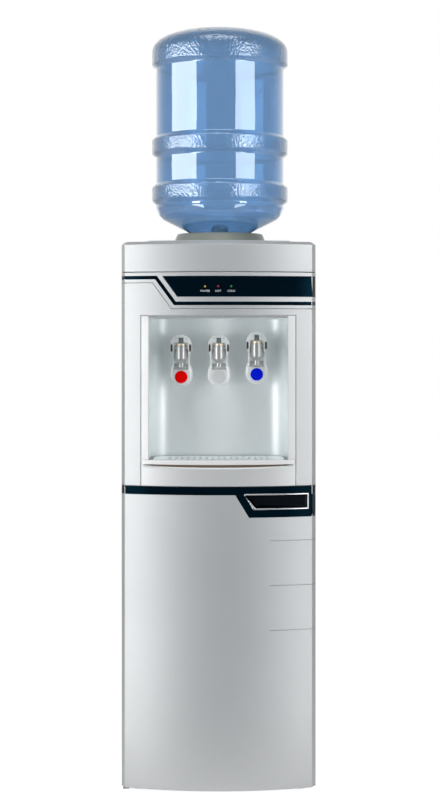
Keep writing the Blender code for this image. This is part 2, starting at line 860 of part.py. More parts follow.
def build_lever(name, x, height):
    """The push lever: a hood over the stem, two arms beside the barrel, a paddle behind the nozzle."""
    outline = arc((0, -paddle_widest), (paddle_half, paddle_half), 180, 360, 2 * arc_steps)
    right = [(paddle_shoulder_half, -arm_bottom), (arm_half, -arm_bottom), (arm_half, -arm_top),
             (hood_half, -arm_top)]
    outline += right
    outline += arc((0, hood_side_rise), (hood_half, hood_rise - hood_side_rise), 0, 180, 2 * arc_steps)
    outline += [(-a, b) for a, b in right[::-1]]
    outline = [(x + a, height + b) for a, b in outline]
    lever = prism(name + "_lever", outline, tap_y - hood_front, tap_y + hood_back, "Y")
    low = -paddle_widest - paddle_half - overrun
    high = hood_rise + overrun
    side = [(paddle_front, low), (paddle_back, low), (web_back, -paddle_lip), (web_back, -arm_top),
            (hood_back + overrun, -arm_top), (hood_back + overrun, high), (-hood_front - overrun, high),
            (-hood_front - overrun, -arm_top), (-arm_front, -arm_top), (-arm_front, -arm_bottom),
            (paddle_front, -arm_bottom)]
    side = [(tap_y + a, height + b) for a, b in side]
    trim(lever, prism(name + "_side", side, x - 2 * paddle_half, x + 2 * paddle_half, "X"))
    front = tap_y - hood_front - overrun
    web_top = tap_shoulder - tap_barrel - tap_cone - gap
    windows = (("_barrel_gap", arm_gap_half, web_top, hood_roof_rise, hood_back + overrun),
               ("_pocket", arm_gap_half, -paddle_lip, web_top + gap, web_front),
               ("_notch", notch_half, hood_roof_rise - gap, high, notch_back))
    for label, half, bottom, top, depth in windows:
        window = rectangle(x - half, height + bottom, x + half, height + top)
        cut(lever, prism(name + label, window, front, tap_y + depth, "Y"))
    hole = disc_profile(axle_radius + axle_clearance, -hood_half - overrun, hood_half + overrun)
    cut(lever, turned(name + "_axle_hole", hole, (x, pivot_y, height), "X"))
    return finish(lever, (0.66, 0.68, 0.69), 0.3, 0.3)


def build_disc(name, x, height, colour):
    """The colour disc on the paddle's front."""
    centre = (x, tap_y + paddle_front - gap, height - disc_drop)
    disc = [(0, 0), (disc_radius, 0), (disc_radius, gap - disc_depth), (disc_radius - gap, -disc_depth),
            (0, -disc_depth)]
    return finish(turned(name + "_disc", disc, centre, "Y", tap_facets), colour, 0.3)


def pin_hole(name):
    """A cutter for a hinge pin's bore in the walls between the door and what holds it."""
    profile = disc_profile(pin_radius + pin_clearance, door_bottom - pin_reach,
                           fascia_bottom + moulded_wall + overrun)
    return turned(name, profile, (pin_x, pin_y, 0.0))


def build_door():
    """The cabinet door with its band, grip and inner panel, and the two pins it swings on."""
    wall = moulded_wall
    door = hollow_shell("door_shell", door_bottom, door_top, side_y)
    ring = grip_outline()
    mouth = grown(ring, -grip_frame_width)
    cup_edge = grown(mouth, grip_cup_wall)
    cup_back = front_at((grip_left + grip_right) / 2) + grip_cup_depth
    cut(door, pocket("band_seat", band_outline(), trim_depth), pin_hole("door_pin_hole"),
        face_prism("grip_hole", grown(cup_edge, gap)))
    for i in range(groove_count):
        z = door_bottom + groove_first + i * groove_pitch
        cut(door, groove(f"door_groove_{i + 1}", [(groove_start, z), (body_half + overrun, z)]))
    finish(door, (0.66, 0.68, 0.70), 0.35, 0.4)

    band = inlay("door_band", band_outline(), 0.0, trim_depth)
    cut(band, face_prism("band_opening", grown(ring, gap)))
    finish(band, (0.006, 0.012, 0.026), 0.12)
    frame = inlay("grip_frame", ring, grip_frame_proud, trim_depth)
    cut(frame, face_prism("grip_frame_opening", mouth))
    finish(frame, (0.80, 0.80, 0.80), 0.2, 1.0)
    low = door_top - band_right_height
    cup = front_block("grip_cup", trim_depth + gap, low, door_top, side_y)
    trim(cup, face_prism("grip_cup_edge", cup_edge, cup_back))
    cut(cup, face_prism("grip_cup_hollow", mouth, cup_back - grip_cup_wall))
    finish(cup, (0.006, 0.008, 0.012), 0.3)

    back = side_y - gap
    panel = front_block("door_inner_panel", wall + gap, door_bottom + wall + gap, door_top - wall - gap,
                        side_y)
    trim(panel, block("inner_panel_depth", (-body_half, back - inner_panel_depth, 0),
                      (body_half, back, door_top)))
    finish(panel, (0.75, 0.76, 0.76), 0.5)
    carry(pivot("door_hinge", (pin_x, pin_y, door_bottom)), door, band, frame, cup, panel)

    head = fascia_bottom + wall + gap
    upper = [(0, door_top - pin_reach), (pin_radius, door_top - pin_reach), (pin_radius, head),
             (pin_head_radius, head), (pin_head_radius, head + pin_head_height),
             (0, head + pin_head_height)]
    finish(turned("upper_hinge_pin", upper, (pin_x, pin_y, 0.0)), (0.6, 0.6, 0.6), 0.3, 1.0)
    top = foot_height - gap
    half = hinge_plate_half
    rear = corner_y + cabinet_front + 2 * half
    lower = block("lower_hinge_pin", (pin_x - half, pin_y - half, top - hinge_plate),
                  (pin_x + half, rear, top))
    stud = [(0, top - hinge_plate / 2), (pin_head_radius, top - hinge_plate / 2),
            (pin_head_radius, door_bottom - gap), (pin_radius, door_bottom - gap),
            (pin_radius, door_bottom + pin_reach), (0, door_bottom + pin_reach)]
    join(lower, turned("lower_stud", stud, (pin_x, pin_y, 0.0)))
    finish(lower, (0.6, 0.6, 0.6), 0.3, 1.0)


def build_cabinet():
    """The storage cabinet's liner behind the door, and the magnetic catch on its flange."""
    half = body_half - sheet_wall - gap
    front = corner_y + cabinet_front
    low = foot_height + pan_height + gap
    liner = block("cabinet_liner", (-half, front, low), (half, front + cabinet_wall, door_top))
    bottom = low + cabinet_margin
    top = door_top - cabinet_margin
    wall = cabinet_wall
    join(liner, block("cabinet_box", (-cabinet_half, front, bottom), (cabinet_half, cabinet_back, top)))
    cut(liner, block("cabinet_hollow", (wall - cabinet_half, front - overrun, bottom + wall),
                     (cabinet_half - wall, cabinet_back - wall, top - wall)))
    finish(liner, (0.70, 0.71, 0.71), 0.5)
    width, height = magnet_size
    middle = (half + cabinet_half) / 2
    catch = block("magnetic_catch", (middle - width / 2, side_y + gap, magnet_height - height / 2),
                  (middle + width / 2, front - gap, magnet_height + height / 2))
    finish(catch, (0.75, 0.75, 0.73), 0.5)


def build_tanks():
    """The cold tank in its foam jacket on a shelf, and the hot tank that hangs under the shelf."""
    half = body_half - sheet_wall - gap
    rear = back_y - 2 * (sheet_wall + gap)
    shelf = block("tank_shelf", (-half, wall_y + shelf_behind_wall, shelf_top - shelf_wall),
                  (half, rear, shelf_top))
    finish(shelf, (0.45, 0.46, 0.46), 0.5, 0.8)
    centre = (0, bottle_y, 0)
    low = shelf_top + gap
    top = low + jacket_height
    floor = low + jacket_floor
    inner = cold_tank_radius + gap
    profile = [(0, low), (jacket_radius, low), (jacket_radius, top), (inner, top), (inner, floor), (0, floor)]
    finish(turned("cold_tank_jacket", profile, centre, "Z", tank_facets), (0.85, 0.85, 0.82), 0.9)
    wall = stainless_wall
    hole = spigot_radius + gap
    low = floor + gap
    profile = [(0, low), (cold_tank_radius, low), (cold_tank_radius, top), (hole, top), (hole, top - wall),
               (cold_tank_radius - wall, top - wall), (cold_tank_radius - wall, low + wall), (0, low + wall)]
    finish(turned("cold_tank", profile, centre, "Z", tank_facets), (0.6, 0.6, 0.6), 0.3, 1.0)
    neck_top = shelf_top - shelf_wall - gap
    top = neck_top - hot_tank_neck
    low = top - hot_tank_height
    neck = hot_neck_radius
    radius = hot_tank_radius
    profile = [(0, low), (radius, low), (radius, top), (neck, top), (neck, neck_top),
               (neck - wall, neck_top), (neck - wall, top - wall), (radius - wall, top - wall),
               (radius - wall, low + wall), (0, low + wall)]
    hot = turned("hot_tank", profile, (hot_tank_x, hot_tank_y, 0), "Z", tank_facets)
    finish(hot, (0.6, 0.6, 0.6), 0.35, 1.0)


def build_cooling():
    """The compressor on the pan, and the condenser's tube and wires behind the back panel."""
    low = foot_height + sheet_wall + gap
    high = low + compressor_height
    radius = compressor_radius
    crown = radius / 2
    profile = [(0, low), (radius * compressor_base_share, low)]
    profile += arc((radius - crown, low + crown), (crown, crown), -45, 0, 2)
    profile += arc((radius - crown, high - crown), (crown, crown), 0, 90, 3)
    profile.append((0, high))
    compressor = turned("compressor", profile, (compressor_x, compressor_y, 0), "Z", tap_facets)
    finish(compressor, (0.02, 0.02, 0.02), 0.4)

    face = overall_depth / 2
    wires = block("condenser_wires", (-condenser_half, face - wire_depth, condenser_bottom),
                  (condenser_half, face, condenser_top))
    count = int((2 * condenser_half - 2 * wire_pitch) // wire_pitch)
    room = wire_pitch - wire_width
    start = -count * wire_pitch / 2
    low = condenser_bottom + wire_pitch
    high = condenser_top - wire_pitch
    cut(wires, blocks("wire_gaps", [((start + i * wire_pitch + wire_width / 2, face - overrun, low),
                                     (start + i * wire_pitch + wire_width / 2 + room, face + overrun, high))
                                    for i in range(count)]))
    width, height = standoff_size
    for side in (-1, 1):
        for z in (condenser_bottom, condenser_top - height):
            x = side * (condenser_half - width / 2)
            join(wires, block("standoff", (x - width / 2, back_y + gap, z), (x + width / 2, face, z + height)))
    finish(wires, (0.03, 0.03, 0.03), 0.5)

    depth = face - wire_depth - gap - condenser_tube_radius
    half_pitch = condenser_pass_pitch / 2
    reach = condenser_half - standoff_size[0] - 2 * condenser_tube_radius - half_pitch
    passes = int((condenser_top - condenser_bottom - 2 * half_pitch) // condenser_pass_pitch)
    first = (condenser_top + condenser_bottom - (passes - 1) * condenser_pass_pitch) / 2
    path = [(-reach, back_y + gap, first), (-reach, depth, first)]
    for i in range(passes):
        side = 1 if i % 2 == 0 else -1
        z = first + i * condenser_pass_pitch
        if i == passes - 1:
            path += [(side * reach, depth, z), (side * reach, back_y + gap, z)]
            break
        bend = arc((reach, z + half_pitch), (half_pitch, half_pitch), -90, 90, condenser_bend_steps)
        path += [(side * a, depth, b) for a, b in bend]
    finish(tube("condenser_tube", path, condenser_tube_radius), (0.03, 0.03, 0.03), 0.4)


def tube(name, path, radius):
    """A round tube along a path, closed at both ends."""
    line = bpy.data.curves.new(name, "CURVE")
    line.dimensions = "3D"
    line.bevel_depth = radius
    line.bevel_resolution = 1
    line.use_fill_caps = True
    spline = line.splines.new("POLY")
    spline.points.add(len(path) - 1)
    for point, place in zip(spline.points, path):
        point.co = (*place, 1.0)
    piece = bpy.data.objects.new(name, line)
    bpy.context.scene.collection.objects.link(piece)
    return piece


def build_controls():
    """The rear plate with its power inlet and two rocker switches, and the capped drain."""
    x, z = plate_place
    width, height = (size / 2 for size in plate_size)
    face = back_y + plate_proud
    plate = block("rear_control_plate", (x - width, back_y + gap, z - height), (x + width, face, z + height))
    inner = back_y - plate_depth
    margin = plate_margin
    join(plate, block("plate_body", (x + margin - width, inner, z + margin - height),
                      (x + width - margin, back_y + 2 * gap, z + height - margin)))
    floor = inner + plate_floor
    across, tall = (size / 2 for size in inlet_size)
    middle = x - inlet_shift
    cut(plate, block("inlet_hollow", (middle - across, face - inlet_depth, z - tall),
                     (middle + across, face + overrun, z + tall)))
    half_width, half_height = (size / 2 for size in rocker_window)
    for i, label in enumerate(("heating", "cooling")):
        place = x + rocker_first + i * rocker_pitch
        cut(plate, block(label + "_window", (place - half_width, floor, z - half_height),
                         (place + half_width, face + overrun, z + half_height)))
        axis = (place, face - rocker_sink, z)
        turn = Matrix.Rotation(rocker_tilt, 2)
        shape = [turn.inverted() @ Vector((a * rocker_half, b * rocker_half)) for a, b in rocker_shape_shares]
        shape = [(axis[1] + spot.x, z + spot.y) for spot in shape]
        half = half_width - rocker_side_gap
        rocker = prism(label + "_switch", shape, place - half, place + half, "X")
        colour = (0.65, 0.03, 0.02) if label == "heating" else (0.02, 0.40, 0.10)
        finish(rocker, colour, 0.3)
        carry(pivot(label + "_switch_axis", axis), rocker)
    for i, (shift, rise) in enumerate(((-1, -0.5), (0, 0.5), (1, -0.5))):
        a = middle + shift * prong_pitch
        b = z + rise * prong_pitch
        base = face - inlet_depth
        join(plate, block(f"inlet_prong_{i + 1}", (a - prong_size[0] / 2, base - gap, b - prong_size[1] / 2),
                          (a + prong_size[0] / 2, base + prong_length, b + prong_size[1] / 2)))
    finish(plate, (0.02, 0.02, 0.02), 0.5)

    x, z = drain_place
    profile = ring_profile(drain_bore, drain_radius, -drain_inner, drain_outer)
    finish(turned("drain_spout", profile, (x, back_y, z), "Y", tap_facets), (0.6, 0.6, 0.58), 0.5)
    end = drain_outer + gap + cap_wall
    inner = drain_radius + gap
    profile = [(inner, end - cap_depth), (cap_radius, end - cap_depth), (cap_radius, end), (0, end),
               (0, end - cap_wall), (inner, end - cap_wall)]
    cap = turned("drain_cap", profile, (x, back_y, z), "Y", tap_facets)
    finish(cap, (0.75, 0.75, 0.73), 0.5)
    carry(pivot("drain_cap_slide", (x, back_y, z)), cap)


def cover_plan(inset):
    """The top cover seen from above, moved in all round."""
    return shifted(front_line(0.0, back_y), inset, closed=True)


def deck_plan(inset):
    """The deck seen from above: bow, cut corners and sides, with as many corners as the cover's plan."""
    half = body_half - inset
    radius = bow_radius - inset
    back = back_y - inset
    sweep = math.degrees(math.asin((half - deck_corner) / radius))
    bowed = arc((0.0, front_y + bow_radius), (radius, radius), 270 - sweep, 270 + sweep, front_facets)
    side = bowed[-1][1] + deck_corner
    return [(-half, back), (-half, side)] + bowed + [(half, side), (half, back)]


def lofted(name, rings):
    """Outlines with the same number of corners, stacked at their heights into one body."""
    count = len(rings[0][0])
    points = [(x, y, z) for outline, z in rings for x, y in outline]
    faces = [tuple(range(count)), tuple(range(len(points) - count, len(points)))]
    for level in range(len(rings) - 1):
        low = level * count
        high = low + count
        for i in range(count):
            after = (i + 1) % count
            faces.append((low + i, low + after, high + after, high + i))
    return make_object(name, points, faces)


def build_top():
    """The top cover with its bevel and deck, the bottle collar, the seat and the feed probe."""
    wall = moulded_wall
    bevel = cover_bevel_width
    foot = cover_top - cover_bevel_height
    edge = [(0, cover_bottom), (0, foot), (bevel, cover_top)]
    deck = [(deck_inset, cover_top), (deck_inset, deck_top - deck_bevel), (deck_inset + deck_bevel, deck_top)]
    rings = [(cover_plan(inset), level) for inset, level in edge]
    rings += [(deck_plan(inset), level) for inset, level in deck]
    cover = lofted("top_cover", rings)
    hollow = lofted("cover_hollow", [(cover_plan(wall), cover_bottom - overrun),
                                     (cover_plan(wall), foot - wall / 2),
                                     (cover_plan(bevel + wall / 2), cover_top - wall)])
    centre = (0, bottle_y, 0)
    flange = collar_rim_radius - collar_wall - gap
    hole = disc_profile(flange - seat_flange_overlap, cover_bottom, deck_top + overrun)
    cut(cover, hollow, turned("seat_hole", hole, centre, "Z", bottle_facets))
    finish(cover, (0.66, 0.68, 0.69), 0.35, 0.4)

    low = deck_top + gap
    top = deck_top + collar_height
    inner = collar_rim_radius - collar_wall
    profile = [(inner, low), (collar_base_radius, low), (collar_rim_radius, top), (inner, top)]
    finish(turned("bottle_collar", profile, centre, "Z", bottle_facets), (0.30, 0.33, 0.30), 0.4)

    neck_end = deck_top - bottle_sink
    slope = cone_height / (cone_radius - neck_radius)
    sleeve = neck_radius + sleeve_room
    rim = neck_radius + seat_cone_reach
    rim_height = neck_end + neck_length + slope * (rim - neck_radius) - 2 * gap
    throat = rim_height - slope * (rim - sleeve)
    floor = neck_end - neck_room
    skirt = seat_wall
    spigot = spigot_radius - spigot_wall
    end = floor - skirt - spigot_length
    profile = [(flange, low), (flange, low + seat_flange_height), (rim + skirt, low + seat_flange_height),
               (rim + skirt, rim_height), (rim, rim_height), (sleeve, throat), (sleeve, floor),
               (spigot, floor), (spigot, end), (spigot_radius, end), (spigot_radius, floor - skirt),
               (sleeve + skirt, floor - skirt), (sleeve + skirt, throat - skirt),
               (rim, rim_height - skirt), (rim, low)]
    finish(turned("bottle_seat", profile, centre, "Z", tank_facets), (0.85, 0.86, 0.86), 0.4)

    base = floor + gap
    neck = base + probe_tube_height
    head = neck + probe_head_height
    dome = probe_head_radius / 2
    profile = [(probe_bore, base), (probe_base_radius, base), (probe_base_radius, base + probe_base_height),
               (probe_tube_radius, base + probe_base_height), (probe_tube_radius, neck),
               (probe_head_radius, neck + probe_base_height)]
    profile += arc((probe_head_radius - dome, head - dome), (dome, dome), 0, 90, 3)
    profile += [(0, head), (0, head - dome), (probe_bore, head - dome)]
    finish(turned("feed_probe", profile, centre, "Z", tap_facets), (0.80, 0.82, 0.84), 0.3)


def build_bottle():
    """The bottle, neck down: one wall with its neck, cone, rings and dome, open at the neck."""
    foot = deck_top - bottle_sink
    cone = foot + neck_length
    shoulder = cone + cone_height
    wall_foot = shoulder + shoulder_height + shoulder_to_wall
    outer = [(neck_radius, foot), (neck_radius, cone), (cone_radius, shoulder),
             (shoulder_radius, shoulder + shoulder_height), (wall_radius, wall_foot)]
    for level in (0.0, ring_pitch):
        low = wall_foot + low_wall_height + level
        outer += [(wall_radius, low), (ring_radius, low + ring_slope),
                  (ring_radius, low + ring_slope + ring_face),
                  (wall_radius, low + 2 * ring_slope + ring_face)]
    low = outer[-1][1] + dome_ring_rise
    crown = low + ring_slope + dome_ring_face
    outer += [(wall_radius, low), (ring_radius, low + ring_slope)]
    power = 2 / dome_power
    for step in range(dome_steps + 1):
        angle = math.pi / 2 * step / dome_steps
        radius = ring_radius * math.cos(angle) ** power if step < dome_steps else 0.0
        outer.append((radius, crown + dome_height * math.sin(angle) ** power))
    thick = bottle_wall
    dome = [(max(radius - thick, 0.0), height - thick) for radius, height in outer[-dome_steps:]]
    inside = wall_radius - thick
    inner = [(min(radius, inside), height) for radius, height in dome[::-1]]
    slope = cone_height / (cone_radius - neck_radius)
    rise = thick * math.hypot(1, slope)
    bore = neck_radius - thick
    inner += [(inside, wall_foot), (cone_radius - thick, shoulder + rise - slope * thick),
              (bore, cone + rise - slope * thick), (bore, foot)]
    profile = outer + inner
    bottle = turned("water_bottle", profile, (0, bottle_y, 0), "Z", bottle_facets)
    finish(bottle, (0.20, 0.36, 0.55), 0.1)
    carry(pivot("bottle_lift", (0, bottle_y, foot)), bottle)


clear_scene()
build_base()
build_back()
build_fascia()
build_recess()
build_tray()
for tap in taps:
    build_tap(*tap)
build_door()
build_cabinet()
build_tanks()
build_cooling()
build_controls()
build_top()
build_bottle()
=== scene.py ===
# %% [markdown]
# # A floor-standing water cooler with a bottle on top
#
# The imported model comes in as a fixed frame: every joint, panel and fitting is already at its real size.
# This lesson dresses it. Large mouldings become smooth surfaces worked out with numpy, and every piece
# gets a finish made of shader nodes. Sizes are in metres, +Z is up and the front faces -Y.

# %% Load the frame
import json
import math

import bmesh
import bpy
import numpy as np
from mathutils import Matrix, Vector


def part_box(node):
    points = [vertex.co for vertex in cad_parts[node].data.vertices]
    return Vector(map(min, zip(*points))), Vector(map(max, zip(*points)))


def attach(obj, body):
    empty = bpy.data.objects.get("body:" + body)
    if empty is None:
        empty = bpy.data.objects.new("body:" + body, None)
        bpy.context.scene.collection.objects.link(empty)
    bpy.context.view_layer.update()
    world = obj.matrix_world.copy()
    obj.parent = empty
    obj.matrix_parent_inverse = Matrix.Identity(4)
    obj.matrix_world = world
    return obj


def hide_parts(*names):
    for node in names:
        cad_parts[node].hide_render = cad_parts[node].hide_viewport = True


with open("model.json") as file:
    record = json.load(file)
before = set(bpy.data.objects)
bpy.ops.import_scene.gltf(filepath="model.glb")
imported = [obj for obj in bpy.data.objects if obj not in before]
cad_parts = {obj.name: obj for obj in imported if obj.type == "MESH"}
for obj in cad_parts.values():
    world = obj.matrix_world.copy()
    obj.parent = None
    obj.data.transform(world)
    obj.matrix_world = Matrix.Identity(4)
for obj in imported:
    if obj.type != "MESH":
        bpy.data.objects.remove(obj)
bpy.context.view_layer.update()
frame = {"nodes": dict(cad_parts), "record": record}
nodes = frame["nodes"]

# %% [markdown]
# ## Camera and studio
#
# The photograph is a product shot: a long lens, level, a little above the middle of the cooler, with
# the view shifted down. Three pairs of soft boxes stand left and right in front. Wide ones close to the
# bottle give it two upright highlights. Small strong ones at the height of the taps throw a shadow of
# each tap to both sides. Tall ones that reach below the level of the floor light the door's sides and
# leave its bowed middle darker.
#
# The world is white to the camera and through anything clear. Glossy surfaces show it white too where
# they face the backdrop, and the dimmer, cooler room behind the camera where they face that. As a light
# it is dimmer again, so that colours render as written.

# %% Camera
camera_distance = 3.186
camera_height = 0.869
camera_right = 0.05
lens_length = 72.0
shift_right = -0.0311
shift_up = -0.0926
film_width = 36.0
camera_data = bpy.data.cameras.new("product_camera")
camera_data.lens = lens_length
camera_data.sensor_width = film_width
camera_data.shift_x = shift_right
camera_data.shift_y = shift_up
camera = bpy.data.objects.new("product_camera", camera_data)
camera.location = (camera_right, -camera_distance, camera_height)
camera.rotation_euler = (math.radians(90), 0.0, 0.0)
bpy.context.scene.collection.objects.link(camera)
bpy.context.scene.camera = camera
bpy.context.scene.view_settings.view_transform = "Standard"

# %% Lamps
near = 1.3
far = 2.6
# Distance, bearing in degrees from straight ahead, height, width, tallness and radiance of each lamp.
side_lamps = {
    "upper_left_soft_box": (near, -66.0, 1.42, 1.26, 0.44, 3.6),
    "upper_right_soft_box": (near, 46.0, 1.42, 0.85, 0.44, 2.9),
    "middle_left_soft_box": (far, -42.0, 0.84, 0.62, 0.70, 7.6),
    "middle_right_soft_box": (far, 42.0, 0.84, 0.56, 0.70, 5.8),
    "lower_left_soft_box": (far, -42.0, -0.45, 0.95, 1.75, 3.2),
    "lower_right_soft_box": (far, 40.0, -0.45, 0.80, 1.75, 2.45)}


def soft_box(name, place, target, width, tall, power):
    """A rectangular lamp at a place, turned to face a target."""
    lamp = bpy.data.lights.new(name, "AREA")
    lamp.shape = "RECTANGLE"
    lamp.size = width
    lamp.size_y = tall
    lamp.energy = power
    holder = bpy.data.objects.new(name, lamp)
    holder.location = place
    aim = np.array(target) - np.array(place)
    holder.rotation_euler = (math.acos(-aim[2] / np.linalg.norm(aim)), 0.0, math.atan2(-aim[0], aim[1]))
    bpy.context.scene.collection.objects.link(holder)


# A lamp's power is its radiance x pi x its area.
for name, (distance, turn, height, width, tall, radiance) in side_lamps.items():
    bearing = math.radians(turn)
    place = (distance * math.sin(bearing), -distance * math.cos(bearing), height)
    soft_box(name, place, (0.0, 0.0, height), width, tall, radiance * math.pi * width * tall)
soft_box("top_soft_box", (0.0, -1.4, 3.3), (0.0, 0.0, 0.9), 2.0, 1.5, 20.0)
print(f"{len(side_lamps)} soft boxes beside the camera and one above")

# %% World
ambient_level = 0.12
room_colour = (0.28, 0.30, 0.315, 1.0)
pure_white = (1.0, 1.0, 1.0, 1.0)
backdrop_start = 0.25
backdrop_full = 1.0
studio = bpy.data.worlds.new("studio")
studio.use_nodes = True
bpy.context.scene.world = studio
tree = studio.node_tree
tree.nodes.clear()


def world_node(kind, *sources, **settings):
    """A node of the world, its first inputs linked to the given outputs."""
    made = tree.nodes.new(kind)
    for key, value in settings.items():
        setattr(made, key, value)
    for source, socket in zip(sources, made.inputs):
        tree.links.new(source, socket)
    return made


rays = world_node("ShaderNodeLightPath")
direction = world_node("ShaderNodeTexCoord")
parts = world_node("ShaderNodeSeparateXYZ", direction.outputs["Generated"])
backward = world_node("ShaderNodeMapRange", parts.outputs["Y"], interpolation_type="SMOOTHSTEP")
backward.inputs["From Min"].default_value = backdrop_start
backward.inputs["From Max"].default_value = backdrop_full
mirrored = world_node("ShaderNodeMixRGB", backward.outputs["Result"])
mirrored.inputs["Color1"].default_value = room_colour
mirrored.inputs["Color2"].default_value = pure_white
ambient = world_node("ShaderNodeBackground")
ambient.inputs["Color"].default_value = pure_white
ambient.inputs["Strength"].default_value = ambient_level
room = world_node("ShaderNodeBackground", mirrored.outputs["Color"])
white = world_node("ShaderNodeBackground")
white.inputs["Color"].default_value = pure_white
glossy = world_node("ShaderNodeMixShader", rays.outputs["Is Glossy Ray"], ambient.outputs[0], room.outputs[0])
seen = world_node("ShaderNodeMath", rays.outputs["Is Camera Ray"], rays.outputs["Is Transmission Ray"],
                  operation="MAXIMUM")
shown = world_node("ShaderNodeMixShader", seen.outputs[0], glossy.outputs[0], white.outputs[0])
world_node("ShaderNodeOutputWorld", shown.outputs[0])
print(f"white backdrop, ambient light {ambient_level}")

# %% [markdown]
# ## Helpers for surfaces
#
# Each new piece is a grid of points: a function of two parameters, computed as whole arrays. One helper
# turns any grid into a mesh, closing it round one or both parameters, and leaves out the cells of an
# opening. Edges are rolled: near a border the surface curls inwards along a quarter circle, because a
# moulding never has a sharp rim, and the small curve is what catches the light.

# %% Grids into meshes
weld_distance = 1e-6


def grid_faces(rows, columns, round_rows=False, round_columns=False, keep=None):
    """Quads of a grid as arrays: each joins a point to its neighbours along both parameters."""
    i, j = np.meshgrid(np.arange(rows if round_rows else rows - 1),
                       np.arange(columns if round_columns else columns - 1), indexing="ij")
    if keep is not None:
        i, j = i[keep], j[keep]
    later_i, later_j = (i + 1) % rows, (j + 1) % columns
    quads = [i * columns + j, later_i * columns + j, later_i * columns + later_j, i * columns + later_j]
    return np.stack(quads, -1).reshape(-1, 4)


def surface(points, **closing):
    """A grid of points, together with the faces that join them."""
    return points, grid_faces(*points.shape[:2], **closing)


def capped(points):
    """A swept section whose two ends are each drawn together at the middle of the section."""
    middles = points.mean(axis=0)
    end = points[:, :1].shape
    first, last = np.broadcast_to(middles[:1], end), np.broadcast_to(middles[-1:], end)
    return np.concatenate([first, points, last], axis=1)


def drawn_in(loops, shares):
    """Loops of points, and after them copies of the last one drawn in to its middle by some shares."""
    last = loops[-1]
    centre = last.mean(axis=0)
    return np.stack(loops + [last + (centre - last) * share for share in shares])


def at_height(line, z):
    """A line of places (x, y) raised to a height."""
    return np.column_stack([line, np.full(len(line), z)])


def piece(name, parts, sharp=30.0):
    """One mesh object from (points, quads) arrays, merged at its seams, with its faces turned outwards."""
    points = []
    quads = []
    count = 0
    for spots, faces in parts:
        spots = np.asarray(spots, float).reshape(-1, 3)
        points.append(spots)
        quads.append(np.asarray(faces) + count)
        count += len(spots)
    mesh = bpy.data.meshes.new(name)
    mesh.from_pydata(np.concatenate(points).tolist(), [], np.concatenate(quads).tolist())
    shape = bmesh.new()
    shape.from_mesh(mesh)
    bmesh.ops.remove_doubles(shape, verts=shape.verts, dist=weld_distance)
    bmesh.ops.dissolve_degenerate(shape, edges=shape.edges, dist=weld_distance / 10)
    loose = [spot for spot in shape.verts if not spot.link_faces]
    bmesh.ops.delete(shape, geom=loose, context="VERTS")
    bmesh.ops.recalc_face_normals(shape, faces=shape.faces)
    shape.to_mesh(mesh)
    shape.free()
    mesh.shade_smooth()
    mesh.set_sharp_from_angle(angle=math.radians(sharp))
    made = bpy.data.objects.new(name, mesh)
    bpy.context.scene.collection.objects.link(made)
    return made


def settle(made, body, slot_name, *stands_for, look=None):
    """Give a piece its finish and its body, and hide the frame's nodes that it stands for.

    The finish is the one with the slot's own name, unless another look is named.
    """
    made.data.materials.clear()
    made.data.materials.append(looks[look or slot_name])
    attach(made, body)
    if stands_for:
        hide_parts(*stands_for)
    print(f"{made.name}: {len(made.data.polygons)} faces")


def thicken(made, wall):
    """A wall behind an open sheet: the Solidify modifier, applied, working away from the normals."""
    step = made.modifiers.new("wall", "SOLIDIFY")
    step.thickness = wall
    step.offset = -1.0
    step.use_even_offset = False
    depsgraph = bpy.context.evaluated_depsgraph_get()
    solid = bpy.data.meshes.new_from_object(made.evaluated_get(depsgraph))
    made.modifiers.clear()
    old = made.data
    made.data = solid
    bpy.data.meshes.remove(old)
    return made


def spots_of(mesh):
    """A mesh's points as rows of x, y and z."""
    flat = np.empty(3 * len(mesh.vertices))
    mesh.vertices.foreach_get("co", flat)
    return flat.reshape(-1, 3)


def roll(distance, radius):
    """Depth of a rolled edge: radius minus the height of a quarter circle at that distance in."""
    inside = np.clip(radius - distance, 0.0, radius)
    return radius - np.sqrt(radius ** 2 - inside ** 2)


def eased(share):
    """A share from 0 to 1 that starts and ends gently: s squared times (3 - 2 s)."""
    return share ** 2 * (3 - 2 * share)


profile_step = 0.006


def divided(line, step):
    """A line with extra points so that none of its runs is longer than a step."""
    parts = [line[:1]]
    for before, after in zip(line[:-1], line[1:]):
        count = max(1, int(math.ceil(np.linalg.norm(after - before) / step)))
        parts.append(before + (after - before) * np.linspace(0, 1, count + 1)[1:, None])
    return np.concatenate(parts)


def fillet(before, corner, after, radius, steps):
    """Arc that rounds a corner: it is tangent to both sides, radius / tan(half angle) from the corner."""
    before, corner, after = (np.asarray(spot, float) for spot in (before, corner, after))
    one = (before - corner) / np.linalg.norm(before - corner)
    two = (after - corner) / np.linalg.norm(after - corner)
    half = math.acos(np.clip(one @ two, -1, 1)) / 2
    bisector = (one + two) / np.linalg.norm(one + two)
    centre = corner + bisector * radius / math.sin(half)
    first = corner + one * radius / math.tan(half) - centre
    last = corner + two * radius / math.tan(half) - centre
    turn = math.pi - 2 * half
    share = np.linspace(0, 1, steps)[:, None]
    return centre + (np.sin((1 - share) * turn) * first + np.sin(share * turn) * last) / math.sin(turn)


def rounded(corners, radii, steps):
    """A polyline whose inner corners are replaced by fillets; a radius of zero keeps the corner."""
    line = []
    for i, (corner, radius) in enumerate(zip(corners, radii)):
        if radius == 0 or i in (0, len(corners) - 1):
            line.append(np.array([corner], float))
        else:
            line.append(fillet(corners[i - 1], corner, corners[i + 1], radius, steps))
    return np.concatenate(line)


